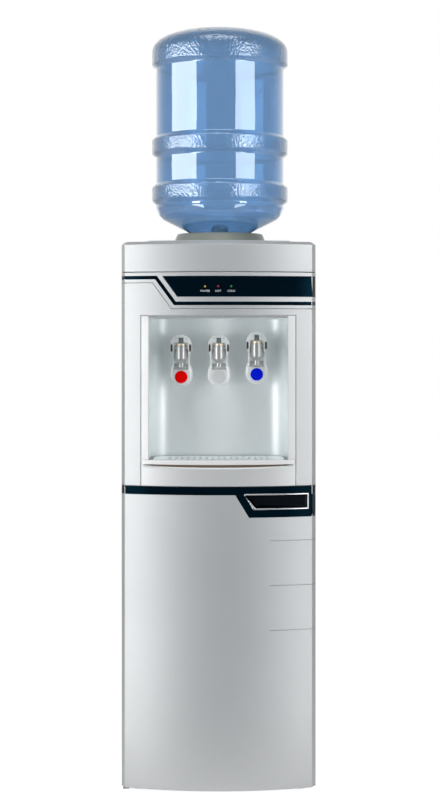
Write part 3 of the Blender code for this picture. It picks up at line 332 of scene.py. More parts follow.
def turned(profile, centre, facets, axis="Z"):
    """A profile of (radius, height) turned round an axis: x = r cos a, y = r sin a, height along the axis."""
    profile = np.asarray(profile, float)
    angle = np.linspace(0, 2 * math.pi, facets, endpoint=False)
    first = profile[:, :1] * np.cos(angle)
    second = profile[:, :1] * np.sin(angle)
    along = np.broadcast_to(profile[:, 1:], first.shape)
    order = {"X": (along, first, second), "Y": (second, along, first), "Z": (first, second, along)}[axis]
    return surface(np.stack(order, -1) + np.asarray(centre, float), round_columns=True)

# %% [markdown]
# ## Finishes
#
# A moulded or painted surface is never one flat colour. Each finish starts from a Principled shader and
# adds what its real surface shows: a slow drift of tone, a fine grain in the roughness, a bump at the
# grain's own scale and a little wear. Patterns read Object coordinates, which are the cooler's own
# metres here, so they stay put when a door or a lever moves. A finish is kept under its name, and a
# piece asks for it by that name.

# %% Material builders
grain_depth = 0.0004
scuff_scale = 45.0
looks = {}


def node(look, kind, **values):
    """A shader node with its settings: a name that is a socket sets the socket, any other the node."""
    made = look.node_tree.nodes.new(kind)
    for key, value in values.items():
        if key in made.inputs:
            made.inputs[key].default_value = value
        else:
            setattr(made, key, value)
    return made


def plain_look(name, sockets):
    """A new look, kept under its name, with the values that are the same all over set on its shader."""
    look = bpy.data.materials.new(name)
    look.use_nodes = True
    shader = look.node_tree.nodes["Principled BSDF"]
    for socket, value in sockets.items():
        shader.inputs[socket].default_value = value
    looks[name] = look
    return look, look.node_tree, shader


def finish(name, colour, roughness, metallic=0.0, drift=0.06, drift_scale=6.0, grain=900.0,
           rough_spread=0.08, bump=0.05, stretch=(1.0, 1.0, 1.0), speckle=0.0, wear=0.0, **sockets):
    """A finish: colour that drifts, roughness with a grain, and a bump on the same grain."""
    fixed = {socket.replace("_", " "): value for socket, value in sockets.items()}
    look, tree, shader = plain_look(name, {"Metallic": metallic, **fixed})
    place = node(look, "ShaderNodeTexCoord")
    spread = node(look, "ShaderNodeMapping")
    spread.inputs["Scale"].default_value = stretch
    tree.links.new(place.outputs["Object"], spread.inputs["Vector"])
    slow = node(look, "ShaderNodeTexNoise", Scale=drift_scale, Detail=3.0, Roughness=0.55)
    tree.links.new(place.outputs["Object"], slow.inputs["Vector"])
    fine = node(look, "ShaderNodeTexNoise", Scale=grain, Detail=2.0, Roughness=0.6)
    tree.links.new(spread.outputs["Vector"], fine.inputs["Vector"])
    tone = node(look, "ShaderNodeValToRGB")
    tone.color_ramp.elements[0].position = 0.3
    tone.color_ramp.elements[1].position = 0.7
    tone.color_ramp.elements[0].color = (*(channel * (1 - drift) for channel in colour), 1.0)
    tone.color_ramp.elements[1].color = (*(min(1.0, channel * (1 + drift)) for channel in colour), 1.0)
    tree.links.new(slow.outputs["Fac"], tone.inputs["Fac"])
    shade = tone.outputs["Color"]
    if speckle:
        flakes = node(look, "ShaderNodeMixRGB", blend_type="OVERLAY", Fac=speckle)
        tree.links.new(shade, flakes.inputs["Color1"])
        tree.links.new(fine.outputs["Fac"], flakes.inputs["Color2"])
        shade = flakes.outputs["Color"]
    if wear:
        scuffs = node(look, "ShaderNodeTexNoise", Scale=scuff_scale, Detail=6.0, Roughness=0.75)
        tree.links.new(place.outputs["Object"], scuffs.inputs["Vector"])
        mask = node(look, "ShaderNodeValToRGB")
        mask.color_ramp.elements[0].position = 0.62
        mask.color_ramp.elements[1].position = 0.78
        mask.color_ramp.elements[1].color = (wear, wear, wear, 1.0)
        tree.links.new(scuffs.outputs["Fac"], mask.inputs["Fac"])
        worn = node(look, "ShaderNodeMixRGB", blend_type="MIX")
        worn.inputs["Color2"].default_value = (*(min(1.0, 0.5 * channel + 0.25) for channel in colour), 1.0)
        tree.links.new(mask.outputs["Color"], worn.inputs["Fac"])
        tree.links.new(shade, worn.inputs["Color1"])
        shade = worn.outputs["Color"]
    tree.links.new(shade, shader.inputs["Base Color"])
    gloss = node(look, "ShaderNodeMapRange")
    gloss.inputs["To Min"].default_value = max(0.0, roughness - rough_spread)
    gloss.inputs["To Max"].default_value = min(1.0, roughness + rough_spread)
    tree.links.new(fine.outputs["Fac"], gloss.inputs["Value"])
    tree.links.new(gloss.outputs["Result"], shader.inputs["Roughness"])
    relief = node(look, "ShaderNodeBump", Strength=bump, Distance=grain_depth)
    tree.links.new(fine.outputs["Fac"], relief.inputs["Height"])
    tree.links.new(relief.outputs["Normal"], shader.inputs["Normal"])
    return look

# %% The cooler's finishes
finish("silver_paint", (0.61, 0.62, 0.625), 0.51, 0.9, drift=0.03, drift_scale=3.0,
       grain=1400.0, bump=0.12, speckle=0.25)
finish("side_sheet", (0.52, 0.54, 0.55), 0.42, 0.2, drift=0.03, grain=700.0, bump=0.12, wear=0.25)
finish("navy_gloss", (0.0006, 0.0050, 0.0100), 0.16, drift=0.25, rough_spread=0.04, bump=0.02,
       Specular_IOR_Level=0.06, Specular_Tint=(0.1, 0.6, 1.0, 1.0))
finish("frame_silver", (0.72, 0.73, 0.735), 0.40, 0.45, drift=0.03, grain=1400.0, speckle=0.2)
finish("stainless", (0.93, 0.97, 0.98), 0.48, 0.6, drift=0.03, grain=260.0, bump=0.06,
       stretch=(9.0, 9.0, 0.35))
finish("tap_chrome", (0.50, 0.505, 0.495), 0.31, 0.75, drift=0.05, rough_spread=0.02, bump=0.01)
finish("lever_silver", (0.86, 0.885, 0.89), 0.26, 0.15, drift=0.03, grain=1600.0, speckle=0.15)
finish("stem_grey", (0.28, 0.34, 0.36), 0.4)
# Painted shade: the near-black brown of the dark openings at the levers' pivots.
finish("pivot_painted_shade", (0.035, 0.026, 0.02), 0.35)
finish("red_disc", (0.98, 0.001, 0.001), 0.45, drift=0.02, Specular_IOR_Level=0.05)
finish("pale_disc", (0.66, 0.68, 0.70), 0.35, drift=0.03)
finish("blue_disc", (0.0008, 0.013, 0.80), 0.45, drift=0.02, Specular_IOR_Level=0.05)
finish("yellow_lens", (0.55, 0.38, 0.02), 0.2)
finish("red_lens", (0.45, 0.02, 0.05), 0.2)
finish("green_lens", (0.02, 0.28, 0.10), 0.2)
finish("chrome_trim", (0.72, 0.73, 0.74), 0.16, 1.0, rough_spread=0.05)
finish("dark_plastic", (0.002, 0.005, 0.010), 0.3, grain=500.0, bump=0.1,
       Specular_IOR_Level=0.15)
finish("black_plastic", (0.02, 0.02, 0.021), 0.45, grain=500.0, bump=0.15)
finish("white_plastic", (0.74, 0.75, 0.74), 0.4, drift=0.03, grain=600.0, wear=0.15)
finish("zinc_steel", (0.46, 0.47, 0.46), 0.38, 0.9, drift=0.18, drift_scale=60.0)
finish("black_paint", (0.015, 0.015, 0.016), 0.38, drift=0.2, grain=500.0, wear=0.08)
finish("pale_foam", (0.80, 0.80, 0.76), 0.85, grain=300.0, bump=0.5)
finish("red_switch", (0.55, 0.02, 0.015), 0.25)
finish("green_switch", (0.02, 0.30, 0.09), 0.25)
finish("rubber", (0.02, 0.02, 0.02), 0.75, grain=400.0, bump=0.3)
finish("word_white", (0.85, 0.87, 0.88), 0.4, drift=0.02)
finish("brass_ring", (0.86, 0.74, 0.55), 0.3, 0.6, drift=0.1)
finish("collar_grey", (0.33, 0.355, 0.31), 0.35, 0.2, drift=0.05, grain=900.0, bump=0.06)
finish("tray_silver", (0.94, 0.945, 0.95), 0.32, 0.1, drift=0.02, grain=1400.0)
# Painted shade: the tray's basin, darker than its lip because the grille shades it.
finish("basin_painted_shade", (0.22, 0.23, 0.235), 0.4, drift=0.04, grain=900.0)
# Painted shadow: the brown of the shade under the tray's lip, for the strip behind the finger gap.
finish("pocket_painted_shadow", (0.27, 0.19, 0.135), 0.5, drift=0.08)
print(f"{len(looks)} finishes for solid surfaces")

# %% The bottle's finish
deep_tint = (0.30, 0.475, 0.675, 1.0)
pale_tint = (0.33, 0.50, 0.70, 1.0)
pebble_scale = 230.0
pebble_depth = 0.0008
pebble_roughness = 0.10
clear_roughness = 0.02
wave_scale = 14.0
wave_depth = 0.002


def clear_blue():
    """The bottle: clear tinted plastic with a glossy skin, pebbled where the attribute says so, and wavy."""
    fixed = {"Transmission Weight": 1.0, "IOR": 1.2, "Coat Weight": 1.0, "Coat IOR": 2.0}
    look, tree, shader = plain_look("bottle_blue", fixed)
    place = node(look, "ShaderNodeTexCoord")
    marked = node(look, "ShaderNodeAttribute", attribute_name="pebbled")
    pebbles = node(look, "ShaderNodeTexVoronoi", feature="SMOOTH_F1", Scale=pebble_scale, Smoothness=0.6)
    waves = node(look, "ShaderNodeTexNoise", Scale=wave_scale, Detail=1.0)
    slow = node(look, "ShaderNodeTexNoise", Scale=4.0, Detail=2.0)
    for pattern in (pebbles, waves, slow):
        tree.links.new(place.outputs["Object"], pattern.inputs["Vector"])
    tint = node(look, "ShaderNodeValToRGB")
    tint.color_ramp.elements[0].color = deep_tint
    tint.color_ramp.elements[1].color = pale_tint
    tree.links.new(slow.outputs["Fac"], tint.inputs["Fac"])
    tree.links.new(tint.outputs["Color"], shader.inputs["Base Color"])
    rough = node(look, "ShaderNodeMapRange")
    rough.inputs["To Min"].default_value = clear_roughness
    rough.inputs["To Max"].default_value = pebble_roughness
    tree.links.new(marked.outputs["Fac"], rough.inputs["Value"])
    for socket in ("Roughness", "Coat Roughness"):
        tree.links.new(rough.outputs["Result"], shader.inputs[socket])
    ripple = node(look, "ShaderNodeBump", Strength=0.25, Distance=wave_depth)
    tree.links.new(waves.outputs["Fac"], ripple.inputs["Height"])
    relief = node(look, "ShaderNodeBump", Distance=pebble_depth)
    tree.links.new(marked.outputs["Fac"], relief.inputs["Strength"])
    tree.links.new(pebbles.outputs["Distance"], relief.inputs["Height"])
    tree.links.new(ripple.outputs["Normal"], relief.inputs["Normal"])
    for socket in ("Normal", "Coat Normal"):
        tree.links.new(relief.outputs["Normal"], shader.inputs[socket])


clear_blue()
subparts = frame["record"]["subparts"]
for part in subparts:
    shown = nodes[part["node"]]
    shown.data.materials.clear()
    shown.data.materials.append(looks[part["material_slot"]])
print(f"{len(subparts)} nodes dressed in {len(looks)} finishes")

# %% [markdown]
# ## Floor
#
# One large pale sheet under and behind the cooler, so that it throws a soft shadow, as in the
# photograph. It ends a little in front of the door, which would mirror more of it than the photo shows.

# %% Floor
floor_half = 8.0
floor_front = -0.45
camera_glow = 0.86
mirror_glow = 0.30
floor_mesh = bpy.data.meshes.new("floor")
floor_mesh.from_pydata([(-floor_half, floor_front, 0.0), (floor_half, floor_front, 0.0),
                        (floor_half, floor_half, 0.0), (-floor_half, floor_half, 0.0)], [], [(0, 1, 2, 3)])
floor = bpy.data.objects.new("floor", floor_mesh)
bpy.context.scene.collection.objects.link(floor)
floor_look = finish("floor_white", (0.90, 0.90, 0.90), 0.7, drift=0.01, bump=0.0)
glow = floor_look.node_tree
shader = glow.nodes["Principled BSDF"]
shader.inputs["Emission Color"].default_value = pure_white
rays = node(floor_look, "ShaderNodeLightPath")
mirrored = node(floor_look, "ShaderNodeMath", operation="MULTIPLY")
mirrored.inputs[1].default_value = mirror_glow
lift = node(floor_look, "ShaderNodeMath", operation="MULTIPLY_ADD")
lift.inputs[1].default_value = camera_glow
glow.links.new(rays.outputs["Is Glossy Ray"], mirrored.inputs[0])
glow.links.new(rays.outputs["Is Camera Ray"], lift.inputs[0])
glow.links.new(mirrored.outputs[0], lift.inputs[2])
glow.links.new(lift.outputs[0], shader.inputs["Emission Strength"])
floor_mesh.materials.append(floor_look)

# %% [markdown]
# ## The front's plan
#
# Seen from above, the whole front is one line: straight sides, a chamfer at each corner and a shallow
# bow between them. Fascia, door, stripe and band all follow it, so it is worked out once, with its
# length measured from the middle. A front surface is then a function of that length and the height.

# %% The plan line
door_low, door_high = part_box("door_shell")
fascia_low, fascia_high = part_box("front_fascia")
cover_low, cover_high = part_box("top_cover")
trim_room = 0.0003
body_half = fascia_high.x - trim_room
front_y = fascia_low.y
bow = 0.028
chamfer_width = 0.0069
chamfer_depth = 0.018
corner_radius = 0.0012
tangent_step = 0.05
moulded_wall = 0.0025
face_half = body_half - chamfer_width
corner_y = front_y + bow
front_back_y = fascia_high.y
bow_radius = (face_half ** 2 + bow ** 2) / (2 * bow)
chamfer_normal = np.array([chamfer_depth, -chamfer_width]) / math.hypot(chamfer_depth, chamfer_width)


def half_plan(inset, radius, back, arc_count=81):
    """Right half of the plan, moved in by an inset: bow, chamfer and side, its corners filleted.

    The bow's end is where a circle of radius R - inset meets the chamfer's line (p - e) . n = -inset.
    """
    centre = np.array([0.0, front_y + bow_radius])
    end_of_bow = np.array([face_half, corner_y])
    reach = bow_radius - inset
    lean = math.atan2(chamfer_normal[1], chamfer_normal[0])
    turn = lean + math.asin((-inset - (centre - end_of_bow) @ chamfer_normal) / reach)
    end = centre + reach * np.array([math.sin(turn), -math.cos(turn)])
    x = body_half - inset
    y = corner_y - (inset + (x - face_half) * chamfer_normal[0]) / chamfer_normal[1]
    side = np.array([x, y])
    ahead = end - tangent_step * np.array([math.cos(turn), math.sin(turn)])
    edge = fillet(ahead, end, side, radius, 9)
    shoulder = fillet(end, side, side + (0, 1), 2 * radius, 7)
    angle = np.linspace(0, turn - np.linalg.norm(edge[0] - end) / reach, arc_count)
    bowed = centre + reach * np.stack([np.sin(angle), -np.cos(angle)], -1)
    return np.concatenate([bowed, edge[1:], shoulder, [[x, back]]])


right_half = half_plan(0.0, corner_radius, front_back_y)
plan = np.concatenate([right_half[:0:-1] * (-1, 1), right_half])
length = np.concatenate([[0.0], np.cumsum(np.linalg.norm(np.diff(plan, axis=0), axis=1))])
length -= length[-1] / 2
slope = np.gradient(plan, length, axis=0)
slope /= np.linalg.norm(slope, axis=1)[:, None]
outward = np.stack([slope[:, 1], -slope[:, 0]], -1)
front_reach = length[-1]
door_reach = np.interp(door_high.y, plan[len(right_half):, 1], length[len(right_half):])


def on_front(s, z, inset=0.0):
    """Point of the front at a length and a height, moved in along the plan's normal by an inset."""
    x = np.interp(s, length, plan[:, 0]) - inset * np.interp(s, length, outward[:, 0])
    y = np.interp(s, length, plan[:, 1]) - inset * np.interp(s, length, outward[:, 1])
    return np.stack(np.broadcast_arrays(x, y, z), -1)


def along(x):
    """Length along the plan at a place across the front; a tiny slope keeps the straight sides in order."""
    return np.interp(x, plan[:, 0] + 1e-9 * length, length)


def lengths(reach, *extra):
    """Columns of a front surface: the plan's own points within a reach, and any extra places."""
    own = length[np.abs(length) < reach - 1e-6]
    s = np.unique(np.concatenate([own, [-reach, reach], *extra]).round(9))
    return s[np.abs(s) < reach + 1e-9]


curl_shares = 1 - np.cos(np.linspace(0, math.pi / 2, 6))


def moulding(name, s, rows, inset, keep, back=None):
    """A moulded front: a grid of heights over lengths, with a wall behind it.

    Where a back is given, the top and the bottom edge are first turned back to it. The sheet has to face
    forwards, so that the wall grows inwards, and the wall is kept within the body's sides.
    """
    z = np.stack(np.broadcast_arrays(*rows))
    points = on_front(np.broadcast_to(s, z.shape), z, inset)
    if back is not None:
        share = np.linspace(0, 1, 4)[1:, None, None]
        low, high = points[0].copy(), points[-1].copy()
        low[:, 1] = high[:, 1] = back
        under = points[0] + (low - points[0]) * share
        over = points[-1] + (high - points[-1]) * share
        points = np.concatenate([under[::-1], points, over])
        keep = np.concatenate([keep[:1]] * 3 + [keep] + [keep[-1:]] * 3)
    made = piece(name, [surface(points, keep=keep)])
    if sum(face.normal.y * face.area for face in made.data.polygons) > 0:
        made.data.flip_normals()
    thicken(made, moulded_wall)
    spots = spots_of(made.data)
    spots[:, 0] = np.clip(spots[:, 0], -body_half, body_half)
    made.data.vertices.foreach_set("co", spots.ravel())
    return made


def cell_middles(s, rows):
    """Middles of a grid's cells: lengths and heights."""
    z = np.stack(np.broadcast_arrays(*rows))
    s = np.broadcast_to(s, z.shape)
    return [(a[:-1, :-1] + a[1:, 1:] + a[:-1, 1:] + a[1:, :-1]) / 4 for a in (s, z)]


print(f"front: {2 * front_reach:.3f} m round, bow radius {bow_radius:.3f} m")

# %% [markdown]
# ## Fascia
#
# The upper moulding runs round both corners and frames the dispensing recess. Its grid has lines along
# the opening's edges, so the opening is a matter of leaving cells out. A fine groove steps down from
# left to right: the rows of the grid follow it, so it stays crisp on the slant.

# %% Fascia surface
edge_radius = 0.0012
gap = 0.0003
frame_low, frame_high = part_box("recess_frame")
opening_half = frame_high.x + gap
opening_top = frame_high.z + gap
line_drop = 0.0197
line_height = 0.0482
line_turn_inset = 0.0601
line_lean = 0.0348
line_width = 0.0018
line_depth = 0.0016


def fascia_surface():
    """The fascia: rows follow the fine groove above the opening, and stay level beside it."""
    turn, end = along(line_turn_inset - body_half), along(line_turn_inset + line_lean - body_half)
    side = along(opening_half)
    curl = side + edge_radius * curl_shares
    s = lengths(front_reach, curl, -curl, [turn, end])
    high = fascia_high.z - line_drop
    path = np.interp(s, [turn, end], [high, high - line_height])
    slant = np.where((s > turn) & (s < end), math.hypot(1, line_height / (end - turn)), 1.0)
    bottom = path - slant * line_width / 2
    top = path + slant * line_width / 2
    rows = [fascia_low.z + edge_radius * share for share in curl_shares]
    rows += list(np.linspace(rows[-1], opening_top, 25)[1:])
    rows += [opening_top + edge_radius * share for share in curl_shares[1:]]
    rows += [rows[-1] + (bottom - rows[-1]) * share for share in np.linspace(0, 1, 9)[1:]]
    first_dip = len(rows) - 1
    rows += [bottom + (top - bottom) * share for share in (0.2, 0.4, 0.6, 0.8, 1.0)]
    rows += [top + (fascia_high.z - edge_radius - top) * share for share in np.linspace(0, 1, 7)[1:]]
    rows += [fascia_high.z - edge_radius * share for share in curl_shares[-2::-1]]
    z = np.stack(np.broadcast_arrays(*rows))
    outside = np.hypot(np.maximum(np.abs(s) - side, 0.0), np.maximum(z - opening_top, 0.0))
    inset = roll(outside, edge_radius) + roll(fascia_high.z - z, edge_radius)
    inset += roll(z - fascia_low.z, edge_radius)
    inset[first_dip:first_dip + 6] += line_depth * np.array([0.0, 0.6, 1.0, 1.0, 0.6, 0.0])[:, None]
    middle_s, middle_z = cell_middles(s, rows)
    keep = (np.abs(middle_s) > side) | (middle_z > opening_top)
    return moulding("fascia_moulding", s, rows, inset, keep, front_back_y)


settle(fascia_surface(), "cabinet", "silver_paint", "front_fascia")

# %% [markdown]
# ## Inlays on the front
#
# The navy stripe, the display panel and the door's band are glossy trims let into the silver. Each is
# a ribbon between two edges, standing a hair above the moulding with a rolled rim, so that light
# traces its outline. Where two strips of the band meet, their rims there are left flat.

# %% Ribbons
trim_proud = 0.00025
trim_radius = 0.0005
trim_wall = 0.0012


def beside(path, distance):
    """A path moved to its left by a distance, with mitred corners."""
    path = np.asarray(path, float)
    runs = np.diff(path, axis=0)
    runs /= np.linalg.norm(runs, axis=1)[:, None]
    sides = np.stack([-runs[:, 1], runs[:, 0]], -1)
    before = np.concatenate([sides[:1], sides])
    after = np.concatenate([sides, sides[-1:]])
    way = before + after
    way /= np.linalg.norm(way, axis=1)[:, None]
    return path + way * distance / np.sum(way * before, axis=1)[:, None]


def ribbon_grid(low, high, low_rim=1.0, high_rim=1.0, step=0.004):
    """A trim between two edges with matching corners: rows cross from the low edge to the high one."""
    low, high = np.asarray(low, float), np.asarray(high, float)
    corner = np.arange(len(low))
    counts = [max(1, int(np.linalg.norm(low[i + 1] - low[i]) / step)) for i in corner[:-1]]
    place = np.concatenate([np.linspace(i, i + 1, n, endpoint=False) for i, n in enumerate(counts)]
                           + [[len(low) - 1]])
    low, high = (np.stack([np.interp(place, corner, edge[:, k]) for k in (0, 1)], -1) for edge in (low, high))
    low_rim, high_rim = (np.interp(place, corner, np.broadcast_to(rim, len(corner)))
                         for rim in (low_rim, high_rim))
    width = np.linalg.norm(high - low, axis=1)
    curl = trim_radius * curl_shares
    middle_rows = np.linspace(0, 1, 8)[1:-1]
    share = np.concatenate([curl[:, None] / width, trim_radius / width + middle_rows[:, None]
                            * (1 - 2 * trim_radius / width), 1 - curl[::-1, None] / width])
    grid = low + (high - low) * share[..., None]
    depth = np.zeros(share.shape)
    depth[:6] = roll(curl, trim_radius)[:, None] * low_rim
    depth[-6:] = roll(curl, trim_radius)[::-1, None] * high_rim
    return surface(on_front(grid[..., 0], grid[..., 1], depth - trim_proud))


stripe_width = 0.0069
stripe_top_drop = 0.0065
stripe_bottom_drop = 0.0547
stripe_turn_inset = 0.0679
stripe_lean = 0.0356
stripe_high = fascia_high.z - stripe_top_drop
stripe_low = fascia_high.z - stripe_bottom_drop
trim_end = front_reach - 2 * trim_radius
stripe_path = [(-trim_end, stripe_high), (along(stripe_turn_inset - body_half), stripe_high),
               (along(stripe_turn_inset + stripe_lean - body_half), stripe_low), (trim_end, stripe_low)]
stripe = piece("stripe_inlay", [ribbon_grid(beside(stripe_path, -stripe_width), stripe_path)])
settle(thicken(stripe, trim_wall), "cabinet", "navy_gloss", "navy_stripe")

panel_top_drop = 0.007
panel_height = 0.0389
panel_top_inset = 0.0778
panel_lean = 0.0286
panel_top = fascia_high.z - panel_top_drop
panel_bottom = panel_top - panel_height
panel_left = along(panel_top_inset - body_half)
panel = ribbon_grid([(panel_left + panel_lean, panel_bottom), (trim_end, panel_bottom)],
                    [(panel_left, panel_top), (trim_end, panel_top)])
settle(thicken(piece("display_inlay", [panel]), trim_wall), "cabinet", "navy_gloss", "display_panel")

# %% [markdown]
# ## Indicator lenses and their words
#
# Three small domes show power, heating and cooling. The words below them are generic and are printed
# on the real panel. Here each is a text made into a mesh first and then laid on the bowed front, so
# it follows the panel's curve.

# %% Lenses and words
lens_radius = 0.0019
lens_pitch = 0.0243
lens_rise = 0.0007
lens_drop = 0.0265
word_drop = 0.0352
word_size = 0.0052
word_proud = 0.0001
lens_foot = 0.001


def printed_word(name, word, x, z):
    """A word as flat mesh, each point (a, b) laid at the length of x + a and the height z + b."""
    text = bpy.data.curves.new(name, "FONT")
    text.body = word
    text.size = word_size
    text.align_x = "CENTER"
    text.align_y = "CENTER"
    holder = bpy.data.objects.new(name, text)
    depsgraph = bpy.context.evaluated_depsgraph_get()
    bpy.context.scene.collection.objects.link(holder)
    depsgraph.update()
    mesh = bpy.data.meshes.new_from_object(holder.evaluated_get(depsgraph))
    bpy.data.objects.remove(holder)
    flat = spots_of(mesh)
    laid = on_front(along(x + flat[:, 0]), z + flat[:, 1], -trim_proud - word_proud)
    mesh.vertices.foreach_set("co", laid.ravel())
    mesh.update()
    made = bpy.data.objects.new(name, mesh)
    bpy.context.scene.collection.objects.link(made)
    return made


lens_height = fascia_high.z - lens_drop
for place, label, word, slot_name in ((-1, "power", "POWER", "yellow_lens"), (0, "hot", "HOT", "red_lens"),
                                      (1, "cold", "COLD", "green_lens")):
    x = place * lens_pitch
    face = on_front(along(x), lens_height, -trim_proud)
    dome = np.linspace(0, math.pi / 2, 8)
    profile = np.stack([lens_radius * np.cos(dome), -lens_rise * np.sin(dome)], -1)
    profile = np.concatenate([[[lens_radius, lens_foot]], profile])
    lens = piece(label + "_indicator", [turned(profile, face, 24, "Y")])
    settle(lens, "cabinet", slot_name, label + "_lens")
    printed = printed_word(label + "_word", word, x, fascia_high.z - word_drop)
    settle(printed, "cabinet", "white_plastic", look="word_white")

# %% [markdown]
# ## Door
#
# The door is one silver moulding with its top and bottom walls turned back. Three short grooves cross
# its right side. Above, the glossy band hides where the shell is pierced for the grip: the shell's
# rows follow the slanted hole so that nothing crosses the finger space.

# %% Door shell
band_left_height = 0.0150
band_right_height = 0.0570
grip_right = 0.169
grip_left = 0.047
grip_lean = 0.018
grip_drop = 0.0127
grip_height = 0.030
ring_width = 0.0028
band_turn_room = 0.0155
band_turn_x = grip_left - band_turn_room
band_lean = 0.0255
grip_top = door_high.z - grip_drop
grip_bottom = grip_top - grip_height
groove_reach = 0.0859
groove_height = 0.297
groove_pitch = 0.0833
groove_ramp = 0.0006
row_pitch = 0.012
under_hole = 0.006
over_hole = 0.004
slant_run = 0.02
shut_gap = 0.0001
door_grooves = door_low.z + groove_height + groove_pitch * np.arange(3)


def grip_corners(shrink=0.0):
    """The grip's outline moved in: slanted at its left, square at its right."""
    slant = math.hypot(grip_lean, grip_height) / grip_height
    base = grip_left + grip_lean + shrink * (slant + grip_lean / grip_height)
    top = grip_left + shrink * (slant - grip_lean / grip_height)
    return np.array([(base, grip_bottom + shrink), (grip_right - shrink, grip_bottom + shrink),
                     (grip_right - shrink, grip_top - shrink), (top, grip_top - shrink)])


def door_surface():
    """The door: level rows with three grooves, then rows round the grip's hole under the band."""
    hole = grip_corners(ring_width / 2)
    base, right, top = along(hole[0, 0]), along(hole[1, 0]), along(hole[3, 0])
    start = along(body_half - groove_reach)
    s = lengths(door_reach, [base, right, top, start, start + groove_ramp])
    low, high = hole[0, 1], hole[2, 1]
    rows = [door_low.z + edge_radius * share for share in curl_shares]
    grooved = []
    for z in door_grooves:
        count = int((z - rows[-1]) / row_pitch)
        rows += list(np.linspace(rows[-1], z - line_width, count)[1:])
        grooved.append(len(rows))
        rows += [z + line_width * share for share in (-0.5, -0.25, 0.25, 0.5)]
    rows += list(np.linspace(rows[-1], low - under_hole, 7)[1:])
    edge = np.interp(s, [top - slant_run, top, base], [high - slant_run, high, low])
    hole_row = len(rows)
    rows += [edge, high, high + over_hole]
    rows += [door_high.z - edge_radius * share for share in curl_shares[::-1]]
    z = np.stack(np.broadcast_arrays(*rows))
    inset = roll(z - door_low.z, edge_radius) + roll(door_high.z - z, edge_radius)
    reach = np.clip((s - start) / groove_ramp, 0, 1)
    for first in grooved:
        inset[first:first + 4] += line_depth * reach * np.array([0.0, 1.0, 1.0, 0.0])[:, None]
    middle_s, middle_z = cell_middles(s, rows)
    level = np.arange(len(rows) - 1)[:, None] == hole_row
    keep = ~(level & (middle_s > top) & (middle_s < right))
    return moulding("door_moulding", s, rows, inset, keep, door_high.y - shut_gap)


settle(door_surface(), "door", "silver_paint", "door_shell")

# %% Door band, grip ring and finger cup
ring_proud = 0.0008
ring_edge = 0.0003
ring_slope_width = 0.0009
ring_corner = 0.0012
cup_lap = 0.0002
cup_depth = 0.0235
cup_wall = 0.0012
cup_bend = 0.005
cup_corner = 0.001


def on_face(corners):
    """Corners given across the front, as lengths along it."""
    corners = np.asarray(corners, float)
    return np.stack([along(corners[:, 0]), corners[:, 1]], -1)


band_low = door_high.z - band_left_height
band_deep = door_high.z - band_right_height
band_inner = on_face(grip_corners(ring_width / 2))
band_end = door_reach - trim_radius
turn_s, deep_s = along(band_turn_x), along(band_turn_x + band_lean)
stops = (-band_end, turn_s, band_inner[3, 0], band_end)
upper = ribbon_grid([(s, band_low) for s in stops], [(s, door_high.z) for s in stops], low_rim=(1, 1, 0, 0))
lower = ribbon_grid([(turn_s, band_low), (deep_s, band_deep), (band_end, band_deep), (band_end, band_low)],
                    [(band_inner[3, 0], band_low), band_inner[0], band_inner[1],
                     (band_inner[1, 0], band_low)], low_rim=(1, 1, 1, 0), high_rim=0.0)
settle(thicken(piece("door_band_inlay", [upper, lower]), trim_wall), "door", "navy_gloss", "door_band")


def outline_loop(shrink, radius, count=12):
    """The grip's outline as a closed loop of lengths and heights, corners rounded, each side divided."""
    corners = on_face(grip_corners(shrink))
    arcs = [fillet(corners[i - 1], corners[i], corners[(i + 1) % 4], radius, 6) for i in range(4)]
    share = np.linspace(0, 1, count, endpoint=False)[1:, None]
    sides = [arcs[i][-1] + (arcs[(i + 1) % 4][0] - arcs[i][-1]) * share for i in range(4)]
    return np.concatenate([spot for pair in zip(arcs, sides) for spot in pair])


def ring_surface():
    """The grip's bright ring: a low rounded section swept round the outline, then a wall into the cup.

    The section's points are (moved in from the outline, sunk into the front, corner radius).
    """
    section = [(0.0, 0.0004, ring_corner), (0.0, 0.0002, ring_corner), (ring_edge, -0.0005, ring_corner),
               (ring_slope_width, -ring_proud, 0.0014), (ring_width - ring_slope_width, -ring_proud, 0.0014),
               (ring_width - ring_edge, -0.0005, ring_corner), (ring_width, 0.0001, cup_corner),
               (ring_width, 0.0026, cup_corner)]
    grid = np.stack([outline_loop(shrink, radius) for shrink, inset, radius in section])
    inset = np.array([inset for shrink, inset, radius in section])[:, None]
    points = on_front(grid[..., 0], grid[..., 1], inset)
    return piece("grip_ring", [surface(points, round_columns=True)], 50)


def cup_surface():
    """The finger cup: loops that sink from the ring to a flat floor round a fillet, then close."""
    mouth = outline_loop(ring_width, cup_corner)
    front = on_front(mouth[:, 0], mouth[:, 1], cup_lap)
    floor_y = on_front(along((grip_left + grip_right) / 2), grip_top)[1] + cup_depth - cup_wall
    loops = [front]
    for share in np.linspace(0.1, 1, 6):
        loop = front.copy()
        loop[:, 1] += (floor_y - cup_bend - front[:, 1]) * share
        loops.append(loop)
    for angle in np.linspace(0, math.pi / 2, 8)[1:]:
        spot = outline_loop(ring_width + cup_bend * (1 - math.cos(angle)), cup_corner)
        loop = on_front(spot[:, 0], spot[:, 1])
        loop[:, 1] = floor_y - cup_bend * (1 - math.sin(angle))
        loops.append(loop)
    return piece("grip_pocket", [surface(drawn_in(loops, (0.35, 0.7, 1.0)), round_columns=True)], 50)


settle(ring_surface(), "door", "chrome_trim", "grip_frame")
settle(cup_surface(), "door", "dark_plastic", "grip_cup")
